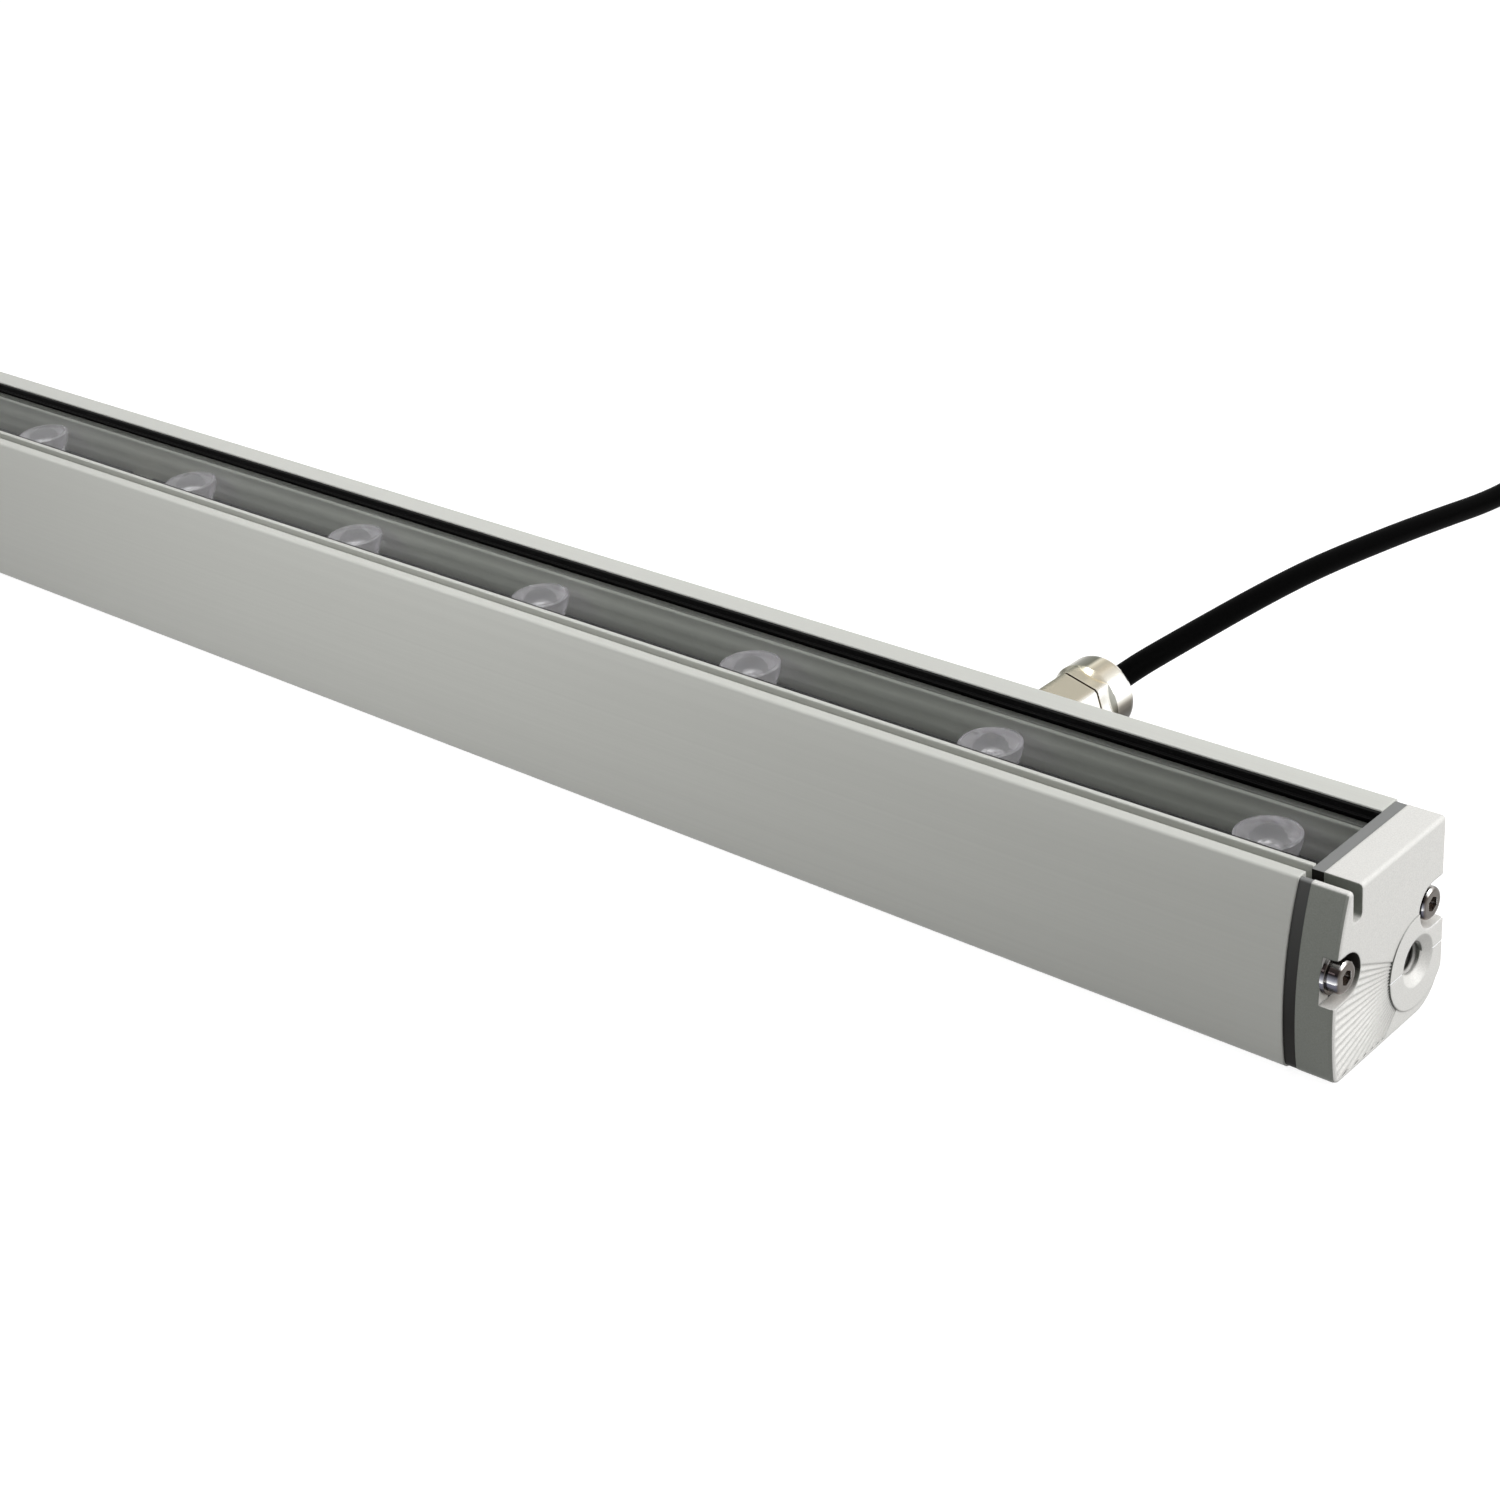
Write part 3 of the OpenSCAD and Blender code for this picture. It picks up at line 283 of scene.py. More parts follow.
@dataclass(frozen=True)
class LacqueredCasting(Finish):
    """Die-cast aluminium, blasted and lacquered silver."""

    # The lacquer is fine-grained and pale on the face and the top. The flanks get a painted
    # shade of grey by the direction that they look in, the screw pockets and tapped bores get
    # a painted shade, the creases a painted line of shade, and the index lines on the pads a
    # painted white highlight.
    flank_shade_colour: str = "#878A83"
    hollow_shade_colour: str = "#24211E"
    index_highlight_colour: str = "#FFFFFF"
    metallic: float = 0.1
    depth: float = 0.012
    grit: float = 0.35
    crease_width: float = 0.9
    # How far a face looks sideways where the flanks' painted shade starts and is full, and how
    # far a face in a pocket looks up where the pocket's painted shade is nil and where it is full
    flank_shade_span: Pair = (0.6, 0.9)
    pocket_shade_span: Pair = (0.35, 0.1)
    # The grain's and the creases' ranges, and the factors that they give the colour; the
    # creases' factors paint a line of shade
    fleck: tuple[float, ...] = (0.3, 0.7, 0.9, 1.06)
    crease_shade: tuple[float, ...] = (0.35, 0.85, 0.3, 1.0)
    # A place just under the cap's face, then the line, reach and limits of the pocket's
    # painted shade
    face_x: float = 496.36
    port: Point = (0.0, 19.25, 28.3)
    port_reach: float = 6.3
    port_floor_x: float = 492.2
    port_rim_y: float = 20.6
    # The bore's line and reach, the depths between which its painted shade grows, and its
    # fullest share
    bore: Point = (0.0, 12.7, 15.834)
    bore_reach: float = 4.7
    bore_depths: Pair = (1.2, 5.0)
    bore_share: float = 0.95
    # The index line's limits along X and its limits out from the bore's line; the line gets
    # a painted white highlight
    index_depths: Pair = (496.44, 496.64)
    index_reach: Pair = (7.0, 12.4)

    def places(self, tree: Tree) -> tuple[Source, Source]:
        """Wire where shade is painted in the hollows and a highlight on the index lines, the same
        in both caps.

        Args:
            tree: The material's nodes.

        Returns:
            What gives the share of painted shade in the screw pockets and tapped bores, and
            what gives 1 in the index lines, where a highlight is painted, and 0 elsewhere.
        """
        place = add_node(tree, "ShaderNodeTexCoord").outputs["Object"]
        both = add_node(tree, "ShaderNodeVectorMath", {"operation": "ABSOLUTE"}, {0: place})
        split = add_node(tree, "ShaderNodeSeparateXYZ", links={"Vector": both})
        depth = split.outputs["X"]

        def reach(line: Point) -> Socket:
            """Wire the distance from a line along X.

            Args:
                line: A point on the line.

            Returns:
                Socket that gives the distance in metres.
            """
            shift = {"operation": "SUBTRACT", 1: [v * MM for v in line]}
            gap = add_node(tree, "ShaderNodeVectorMath", shift, {0: both})
            flat = {"operation": "MULTIPLY", 1: (0, 1, 1)}
            across = add_node(tree, "ShaderNodeVectorMath", flat, {0: gap})
            length = add_node(tree, "ShaderNodeVectorMath", {"operation": "LENGTH"}, {0: across})
            return length.outputs["Value"]

        def within(value: Source, low: float, high: float) -> Node:
            """1 where a length lies between two limits in millimetres."""
            limits = {"operation": "COMPARE", 1: (low + high) / 2 * MM, 2: (high - low) / 2 * MM}
            return add_node(tree, "ShaderNodeMath", limits, {0: value})

        def overlap(whole: Source, *others: Source) -> Source:
            """Wire the product of shares, which is 1 where all of them are.

            Args:
                whole: The first share.
                others: The other shares.

            Returns:
                What gives the product.
            """
            for other in others:
                pair = {0: whole, 1: other}
                whole = add_node(tree, "ShaderNodeMath", {"operation": "MULTIPLY"}, pair)
            return whole

        # Painted shade in the screw pockets, except on faces that look up, and in the bores,
        # darker with depth
        steep = dict(zip(RANGES, self.pocket_shade_span))
        upward = self.facing(tree, "True Normal", "Z")
        pocket = overlap(
            within(reach(self.port), 0, self.port_reach),
            within(split.outputs["Y"], 0, self.port_rim_y),
            within(depth, self.port_floor_x, self.face_x),
            add_node(tree, "ShaderNodeMapRange", steep, {"Value": upward}),
        )
        radius = reach(self.bore)
        near, far = ((self.face_x - d) * MM for d in self.bore_depths)
        deep = {"From Min": near, "From Max": far, "To Max": self.bore_share}
        bore = overlap(
            within(radius, 0, self.bore_reach),
            add_node(tree, "ShaderNodeMapRange", deep, {"Value": depth}),
        )
        hollow = add_node(tree, "ShaderNodeMath", {"operation": "MAXIMUM"}, {0: pocket, 1: bore})
        index = overlap(within(depth, *self.index_depths), within(radius, *self.index_reach))
        return hollow, index

    def wire(self, tree: Tree) -> None:
        """Wire the grain, the painted shade on the flanks by the direction that a face looks in,
        and the painted shade and highlight of the hollows, creases and index lines.

        Args:
            tree: The material's nodes.
        """

        def toned(colour: Source, share: Source, limits: Sequence[float]) -> Node:
            """Make a colour lighter or darker by a share.

            Args:
                colour: The colour.
                share: What it goes by.
                limits: Where the share starts and ends, and the factors that this gives.

            Returns:
                Node that gives the colour.
            """
            ranges = dict(zip(RANGES, limits))
            level = add_node(tree, "ShaderNodeMapRange", ranges, {"Value": share})
            whole = {"blend_type": "MULTIPLY", "Fac": 1.0}
            return add_node(tree, "ShaderNodeMixRGB", whole, {"Color1": colour, "Color2": level})

        grain = self.pattern(tree, self.grit, detail=4)
        # Painted shade: faces that look sideways, the flanks, are darker
        side = self.facing(tree, "True Normal", "Y")
        across = add_node(tree, "ShaderNodeMath", {"operation": "ABSOLUTE"}, {0: side})
        skin = self.blend(tree, self.colour, self.flank_shade_colour, across, self.flank_shade_span)
        hollow, index = self.places(tree)
        flecked = toned(skin, grain, self.fleck)
        # Painted shade in the hollows
        dark = self.blend(tree, flecked, self.hollow_shade_colour, hollow)
        # Painted shade along the creases, where other faces stand near
        edges = {"samples": EDGE_SAMPLES, "Distance": self.crease_width * MM}
        crease = add_node(tree, "ShaderNodeAmbientOcclusion", edges).outputs["AO"]
        crease_shaded = toned(dark, crease, self.crease_shade)
        # A painted highlight on the index lines
        self.shade(tree, self.blend(tree, crease_shaded, self.index_highlight_colour, index), grain)


@dataclass(frozen=True)
class Metal(Finish):
    """Bare or plated metal, turned or pressed, with a fine tool pattern."""

    # Turning leaves fine rings and plating leaves them soft, so the gloss wavers.
    metallic: float = 1.0
    waver: Pair = (-0.06, 0.08)
    depth: float = 0.003
    grain: float = 0.6
    dull_colour: str = "#8C8478"
    tint_span: Pair = (0.25, 0.45)

    def wire(self, tree: Tree) -> None:
        """Wire the metal, its wavering gloss and its tool pattern.

        Args:
            tree: The material's nodes.
        """
        marks = self.pattern(tree, self.grain, detail=4)
        colour = self.blend(tree, self.dull_colour, self.colour, marks, self.tint_span)
        self.shade(tree, colour, marks)


@dataclass(frozen=True)
class MirrorMetal(Finish):
    """Polished or bright-plated metal round one axis of the light."""

    # A mirror finish shows the dark and bright parts of a room. A plain studio has few, so
    # the colour holds painted reflections whose tone goes by the direction that the surface
    # looks in, round the piece's axis. Each tone has the degrees from the horizontal at which it
    # stands.
    metallic: float = 1.0
    waver: Pair = (0.0, 0.08)
    depth: float = 0.002
    grain: float = 0.7
    axis: str = "Y"
    tones: tuple[tuple[float, str], ...] = ((0.0, "#FFFFFF"),)
    soft_edge: float = 0.5
    edge_samples: int = 8
    end_span: Pair = (0.6, 0.95)

    def wire(self, tree: Tree) -> None:
        """Wire the painted reflections round the axis, the plain tone across it and the tool
        pattern.

        Args:
            tree: The material's nodes.
        """
        marks = self.pattern(tree, self.grain)
        round_edges = {"Radius": self.soft_edge * MM, "samples": self.edge_samples}
        edges = add_node(tree, "ShaderNodeBevel", round_edges)
        split = add_node(tree, "ShaderNodeSeparateXYZ", links={"Vector": edges})
        level = split.outputs["X" if self.axis == "Y" else "Y"]
        angle = {"operation": "ARCTAN2"}
        turn = add_node(tree, "ShaderNodeMath", angle, {0: split.outputs["Z"], 1: level})
        circle = {"From Min": -math.pi, "From Max": math.pi}
        share = add_node(tree, "ShaderNodeMapRange", circle, {"Value": turn})
        # Painted reflections: a ramp of tones by the angle round the axis
        ramp = add_node(tree, "ShaderNodeValToRGB", links={"Fac": share})
        stops = ramp.color_ramp.elements
        for degrees, tone in self.tones:
            stops.new((degrees + 180) / 360).color = linear(tone)
        stops.remove(stops[0])
        stops.remove(stops[-1])
        whole = {"operation": "ABSOLUTE"}
        along = add_node(tree, "ShaderNodeMath", whole, {0: split.outputs[self.axis]})
        self.shade(tree, self.blend(tree, ramp, self.colour, along, self.end_span), marks)


@dataclass(frozen=True)
class Moulded(Finish):
    """Rubber or plastic, moulded or extruded, with a fine skin."""

    # The skin has slight flow marks and a grain that softens the gloss. Some rubbers also
    # get a paler painted sheen on faces that look up.
    waver: Pair = (-0.08, 0.1)
    second_colour: str = "#101010"
    grain: float = 0.5
    stretch: Point = (1, 1, 1)
    tint_span: Pair = (0.3, 0.7)
    painted_sheen_colour: str = ""
    painted_sheen_span: Pair = (0.0, 0.95)

    def wire(self, tree: Tree) -> None:
        """Wire the skin's grain in its colour, gloss and relief, and the painted sheen on it.

        Args:
            tree: The material's nodes.
        """
        grain = self.pattern(tree, self.grain, self.stretch, detail=4)
        skin = self.blend(tree, self.colour, self.second_colour, grain, self.tint_span)
        if self.painted_sheen_colour:
            # Painted sheen: faces that look up get a paler colour
            upward = self.facing(tree, "Normal", "Z")
            skin = self.blend(tree, skin, self.painted_sheen_colour, upward, self.painted_sheen_span)
        self.shade(tree, skin, grain)


@dataclass(frozen=True)
class FloatGlass(Finish):
    """Toughened low-iron float glass with an antireflex coat."""

    # The pane is thick enough to lift what lies under it, and shows it clearly, with a
    # weak sheen of the room on its upper face that gets stronger at a glancing view.
    index: float = 1.5
    sheen_index: float = 1.2
    dust_width: float = 3.0
    dust_factors: Pair = (0.5, 1.5)

    def wire(self, tree: Tree) -> None:
        """Wire the clear pane, its sheen and a trace of dust that breaks the sheen.

        Args:
            tree: The material's nodes.
        """
        dust = self.pattern(tree, self.dust_width, detail=5)
        low, high = (self.roughness * factor for factor in self.dust_factors)
        limits = {"To Min": low, "To Max": high}
        haze = add_node(tree, "ShaderNodeMapRange", limits, {"Value": dust})
        colour = linear(self.colour)
        bending = {"Color": colour, "Roughness": 0.0, "IOR": self.index}
        bend = add_node(tree, "ShaderNodeBsdfRefraction", bending)
        clear = add_node(tree, "ShaderNodeBsdfTransparent", {"Color": colour})
        # Lamps and soft light pass straight through
        path = add_node(tree, "ShaderNodeLightPath").outputs
        light = {0: path["Is Shadow Ray"], 1: path["Is Diffuse Ray"]}
        straight = add_node(tree, "ShaderNodeMath", {"operation": "MAXIMUM"}, light)
        body = add_node(tree, "ShaderNodeMixShader", links={0: straight, 1: bend, 2: clear})
        sheen = add_node(tree, "ShaderNodeBsdfGlossy", links={"Roughness": haze})
        weight = add_node(tree, "ShaderNodeFresnel", {"IOR": self.sheen_index})
        inside = add_node(tree, "ShaderNodeNewGeometry").outputs["Backfacing"]
        outside = {"operation": "SUBTRACT", "use_clamp": True}
        share = add_node(tree, "ShaderNodeMath", outside, {0: weight, 1: inside})
        both = add_node(tree, "ShaderNodeMixShader", links={0: share, 1: body, 2: sheen})
        add_node(tree, "ShaderNodeOutputMaterial", links={"Surface": both})


@dataclass(frozen=True)
class OpticalAcrylic(Finish):
    """Clear acrylic, injection moulded and polished."""

    # Thick acrylic bends what lies behind it and gathers the lamp into bright spots; the
    # moulding leaves faint swirls. The crown's middle is polished clear, and the ring
    # round it is lightly frosted and milky, with a trace of lilac.
    depth: float = 0.03
    index: float = 1.49
    swirl_width: float = 2.5
    shadow_colour: str = "#E6E2EA"
    haze_colour: str = "#F4F0F5"
    haze: Pair = (0.12, 0.27)
    ring: Pair = (2.0, 8.0)
    lens_pitch: float = 83.782
    lens_y: float = 3.55

    def frost(self, tree: Tree) -> Node:
        """Wire the share of frost by the distance from the nearest lens's axis.

        Args:
            tree: The material's nodes.

        Returns:
            Node that gives the share.
        """
        place = add_node(tree, "ShaderNodeTexCoord").outputs["Object"]
        split = add_node(tree, "ShaderNodeSeparateXYZ", links={"Vector": place})
        half = self.lens_pitch * MM / 2
        # Lenses stand half a pitch from the middle and then a pitch apart
        step, row = {"operation": "PINGPONG", 1: half}, {"operation": "SUBTRACT", 1: half}
        along = add_node(tree, "ShaderNodeMath", step, {0: split.outputs["X"]})
        x = add_node(tree, "ShaderNodeMath", row, {0: along})
        line = {"operation": "SUBTRACT", 1: self.lens_y * MM}
        y = add_node(tree, "ShaderNodeMath", line, {0: split.outputs["Y"]})
        flat = add_node(tree, "ShaderNodeCombineXYZ", links={"X": x, "Y": y})
        radius = add_node(tree, "ShaderNodeVectorMath", {"operation": "LENGTH"}, {0: flat})
        limits = dict(zip(RANGES, [r * MM for r in self.ring] + list(self.haze)))
        links = {"Value": radius.outputs["Value"]}
        return add_node(tree, "ShaderNodeMapRange", limits, links)

    def wire(self, tree: Tree) -> None:
        """Wire the clear body, which lets lamps through to the package under it.

        Args:
            tree: The material's nodes.
        """
        settings = {
            "Base Color": linear(self.colour),
            "Roughness": self.roughness,
            "IOR": self.index,
            "Transmission Weight": 1.0,
        }
        swirls = self.relief(tree, self.pattern(tree, self.swirl_width, detail=2))
        body = add_node(tree, "ShaderNodeBsdfPrincipled", settings, {"Normal": swirls})
        milk = add_node(tree, "ShaderNodeBsdfDiffuse", {"Color": linear(self.haze_colour)})
        hazy = {"Fac": self.frost(tree), 1: body, 2: milk}
        seen = add_node(tree, "ShaderNodeMixShader", links=hazy)
        clear = {"Color": linear(self.shadow_colour)}
        shadow = add_node(tree, "ShaderNodeBsdfTransparent", clear)
        lamp = add_node(tree, "ShaderNodeLightPath").outputs["Is Shadow Ray"]
        both = add_node(tree, "ShaderNodeMixShader", links={0: lamp, 1: seen, 2: shadow})
        add_node(tree, "ShaderNodeOutputMaterial", links={"Surface": both})


HOUSING = AnodisedAluminium("anodised_aluminium", "#CECFC9", 0.42, 0.8)
CASTING = LacqueredCasting("lacquered_die_casting", "#E1E0DC", 0.5, 0.7)
PANE = FloatGlass("float_glass", "#EFF0EF", 0.03)
LENS = OpticalAcrylic("optical_acrylic", "#F5F1F8", 0.04)
# Rubber, extruded: deep black and dull, with flow lines along it
BEAD = Moulded(
    "epdm_rubber", "#060606", 0.5, specular=0.08, second_colour="#0C0C0C", stretch=(60, 1, 1)
)
# Silicone, die-cut: dark and dull, with a pale painted sheen where it looks up
GASKET = Moulded(
    "silicone_gasket", "#1A1917", 0.5, specular=0.15, second_colour="#211F1D", grain=1.2,
    painted_sheen_colour="#868786",
)
# Foam tape, die-cut: light grey, open-grained and quite matt
TAPE = Moulded(
    "foam_tape", "#9A9A96", 0.85, specular=0.2, depth=0.05, second_colour="#A4A4A0", grain=0.4
)
# Stainless steel, turned and polished, with painted reflections of a room's dark and bright bands
SCREW = MirrorMetal(
    "polished_stainless_steel",
    "#5E5853",
    0.12,
    axis="X",
    tones=(
        (-180, "#6B6B78"), (-150, "#2B2930"), (-120, "#8B776C"), (-90, "#C9BDB4"),
        (-45, "#6E5F56"), (0, "#B0AAA4"), (60, "#4A423E"), (95, "#E9E6E3"), (112, "#FFFFFF"),
        (128, "#37302E"), (150, "#191517"), (168, "#8D8D97"), (180, "#6B6B78"),
    ),
)
# Steel, pressed and zinc-plated: pale bluish grey with a soft gloss
SMALL_SCREW = Metal("zinc_plated_steel", "#B9BCC0", 0.25, dull_colour="#8D9196")
# Brass, turned and bright nickel-plated: warm white, with painted reflections of a room's dark
# bands
GLAND = MirrorMetal(
    "bright_nickel_plating",
    "#D9D1C2",
    0.15,
    axis="Y",
    tones=(
        (-180, "#A79F8E"), (-70, "#4B4840"), (-49, "#23211C"), (-24, "#2E2B24"), (-6, "#4A463E"),
        (5, "#77726A"), (11, "#C9C5BA"), (15, "#F6F6F2"), (40, "#FFFEFB"), (52, "#E4DFD2"),
        (66, "#BEB4A0"), (75, "#B4AE9C"), (79, "#CFC6B0"), (83, "#E6E0CC"), (88, "#6C6C5D"),
        (102, "#77776A"), (118, "#9A988A"), (131, "#A8A698"), (180, "#A79F8E"),
    ),
    soft_edge=3.4,
)
# PVC, extruded over the cores: even, black and nearly dull
SHEATH = Moulded(
    "pvc_cable_sheath", "#030303", 0.4, specular=0.004, second_colour="#060606", grain=0.8
)
# Nitrile rubber, moulded: black with a weak gloss
RUBBER = Moulded("nitrile_rubber", "#0B0B0B", 0.5, specular=0.2, second_colour="#141414")
# Solder mask, printed and baked on an aluminium board: grey and smooth
BOARD = Moulded(
    "grey_solder_mask", "#464849", 0.45, specular=0.2, second_colour="#505253", grain=0.7
)
# Silicone pad, cast as a sheet and cut: pale grey and matt
HEAT_PAD = Moulded(
    "silicone_heat_pad", "#8F959B", 0.8, depth=0.02, second_colour="#A0A5AA", grain=0.3
)
# Phosphor in silicone, poured and cured: pale yellow with a wet gloss
PACKAGE = Moulded("phosphor_silicone", "#D9D4A0", 0.3, second_colour="#CFC78A", grain=0.2)
# Glass fibre laminate under green solder mask: even green with a soft gloss
CIRCUIT = Moulded("glass_fibre_laminate", "#1E5A38", 0.4, second_colour="#24663F", grain=0.3)
# Polyamide, moulded: plain green with a dull skin
TERMINAL = Moulded("polyamide_terminal", "#3B7A4A", 0.5, second_colour="#35703F")
# Ferrite, pressed and sintered: charcoal, grainy and matt
FERRITE = Moulded(
    "sintered_ferrite", "#2A2A2C", 0.7, depth=0.03, second_colour="#353538", grain=0.3
)
# Sleeve, shrunk over a can: dark blue and glossy
SLEEVE = Moulded("shrink_sleeve", "#1F2440", 0.3, second_colour="#262C4B", grain=2.0)
# Copper wire, drawn and enamelled: warm orange that dulls to brown
COPPER = Metal("enamelled_copper", "#B4672E", 0.3, grain=0.9, dull_colour="#7E4520")
# Epoxy, moulded round a chip: charcoal and dull
CASE = Moulded("epoxy_case", "#26262A", 0.55, second_colour="#303034", grain=0.4)
# Silicone, extruded on wire: dark red with a soft gloss
WIRE = Moulded("silicone_wire_insulation", "#8F1F18", 0.4, second_colour="#9C281F")
# PVC, extruded on the supply's cores: plain colours with a soft gloss
CORE_BROWN = Moulded("brown_core_insulation", "#5A3318", 0.4, second_colour="#64391C")
CORE_BLUE = Moulded("blue_core_insulation", "#1D4E8C", 0.4, second_colour="#235797")
CORE_EARTH = Moulded(
    "green_yellow_core_insulation", "#2F7D32", 0.4, depth=0.0, second_colour="#D8C322",
    grain=2.4, stretch=(3, 3, 3),
)
# Copper, drawn and tinned: bright grey with fine marks
STRANDS = Metal("tinned_copper_strands", "#C9C4BC", 0.25, grain=0.5)
# Polyamide, moulded: black with a soft gloss
TIE = Moulded("polyamide_tie", "#131313", 0.45, second_colour="#1B1B1B")


def keep(piece: bpy.types.Object, finish: Finish) -> bpy.types.Object:
    """Give a new piece its finish and its place in the model.

    Args:
        piece: New mesh or curve object.
        finish: Finish that it gets.

    Returns:
        The same piece.
    """
    piece.data.materials.append(finish.material())
    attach(piece, BODY)
    log.info("%s made in %s", piece.name, finish.label)
    return piece


def dress(finish: Finish, *nodes: str, edge: float = 0.0) -> None:
    """Give nodes of the solid model their finish.

    Args:
        finish: Finish that they get.
        nodes: Names of the nodes.
        edge: Width in millimetres to which their edges are broken.
    """
    for node in nodes:
        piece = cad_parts[node]
        piece.data.materials.clear()
        piece.data.materials.append(finish.material())
        log.info("%s dressed in %s", node, finish.label)
        if not edge:
            continue
        for face in piece.data.polygons:
            face.use_smooth = True
        weld = piece.modifiers.new("weld", "WELD")
        weld.merge_threshold = SAME_POINT
        flat = piece.modifiers.new("flat_faces", "DECIMATE")
        flat.decimate_type = "DISSOLVE"
        flat.angle_limit = math.radians(FLAT_ANGLE)
        broken = piece.modifiers.new("broken_edges", "BEVEL")
        broken.width = edge * MM
        broken.segments = 2
        broken.limit_method = "ANGLE"
        broken.angle_limit = math.radians(BROKEN_ANGLE)
        piece.modifiers.new("even_normals", "WEIGHTED_NORMAL")


def put(name: str, data: bpy.types.ID) -> bpy.types.Object:
    """Put data in the scene as an object.

    Args:
        name: Name of the object.
        data: Mesh, curve, lamp or camera that it shows.

    Returns:
        The new object.
    """
    made = bpy.data.objects.new(name, data)
    bpy.context.scene.collection.objects.link(made)
    return made


def tube_faces(rings: int, corners: int, closed: bool) -> list[tuple[int, ...]]:
    """Join rings of points to a tube.

    Args:
        rings: Number of rings.
        corners: Number of points in each.
        closed: Whether the last ring joins the first.

    Returns:
        Point numbers of each face.
    """
    faces = []
    for k in range(rings if closed else rings - 1):
        here, there = k * corners, (k + 1) % rings * corners
        for i in range(corners):
            j = (i + 1) % corners
            faces.append((here + i, here + j, there + j, there + i))
    return faces


def mesh_object(
    name: str, points: Sequence[Vector], faces: Sequence[Sequence[int]]
) -> bpy.types.Object:
    """Make a mesh object from points in millimetres.

    Args:
        name: Name of the piece.
        points: Corner points.
        faces: Corner numbers of each face.

    Returns:
        The new object, shaded smooth with sharp edges by angle.
    """
    mesh = bpy.data.meshes.new(name)
    mesh.from_pydata([tuple(p * MM) for p in points], [], [tuple(f) for f in faces])
    mesh.validate()
    body = bmesh.new()
    body.from_mesh(mesh)
    bmesh.ops.remove_doubles(body, verts=body.verts, dist=SAME_POINT)
    bmesh.ops.recalc_face_normals(body, faces=body.faces)
    body.to_mesh(mesh)
    body.free()
    for face in mesh.polygons:
        face.use_smooth = True
    mesh.set_sharp_from_angle(angle=math.radians(SHARP_ANGLE))
    return put(name, mesh)


def heading(path: Sequence[Vector], i: int) -> Vector:
    """Return the direction of a polyline at one of its points.

    Args:
        path: Points of the polyline.
        i: Number of the point.

    Returns:
        Unit vector along the polyline.
    """
    ahead = (path[i + 1] - path[i]).normalized() if i < len(path) - 1 else Vector()
    behind = (path[i] - path[i - 1]).normalized() if i > 0 else Vector()
    return (ahead + behind).normalized()


def spline(path: Sequence[Vector], steps: int) -> list[Vector]:
    """Draw a smooth curve through a list of points.

    Args:
        path: Points that the curve passes through.
        steps: Number of steps between two of them.

    Returns:
        Points along the curve.
    """

    def slope(i: int) -> Vector:
        """Slope of the curve at one of its points."""
        before, after = path[max(i - 1, 0)], path[min(i + 1, len(path) - 1)]
        return (after - before) / ((after - path[i]).length + (path[i] - before).length)

    curve = []
    for k in range(len(path) - 1):
        way = path[k + 1] - path[k]
        for j in range(steps):
            t = j / steps
            lean = (1 - t) * slope(k) - t * slope(k + 1)
            curve.append(path[k] + t * t * (3 - 2 * t) * way + way.length * t * (1 - t) * lean)
    return curve + [path[-1]]


def round_curve(
    name: str, paths: Sequence[Sequence[Vector]], radius: float, ring: int
) -> bpy.types.Object:
    """Make one curve object of round tubes.

    Args:
        name: Name of the piece.
        paths: Centre line of each tube in millimetres.
        radius: Radius of the tubes in millimetres.
        ring: Fineness of their round section.

    Returns:
        The new object.
    """
    data = bpy.data.curves.new(name, "CURVE")
    data.dimensions = "3D"
    data.bevel_depth = radius * MM
    data.bevel_resolution = ring
    data.use_fill_caps = True
    for path in paths:
        line = data.splines.new("POLY")
        line.points.add(len(path) - 1)
        for point, place in zip(line.points, path):
            point.co = (*(place * MM), 1)
        line.use_smooth = True
    return put(name, data)


@dataclass(frozen=True)
class Softbox:
    """A rectangular lamp, in metres, watts and degrees."""

    name: str
    place: Point
    target: Point
    width: float
    height: float
    power: float
    spread: float = 180.0

    def hang(self) -> None:
        """Hang the lamp at its place, turned to its target."""
        data = bpy.data.lights.new(self.name, "AREA")
        data.shape = "RECTANGLE"
        data.size, data.size_y = self.width, self.height
        data.energy = self.power
        data.spread = math.radians(self.spread)
        lamp = put(self.name, data)
        lamp.location = self.place
        lamp.rotation_mode = "QUATERNION"
        way = Vector(self.target) - Vector(self.place)
        lamp.rotation_quaternion = way.to_track_quat("-Z", "Y")


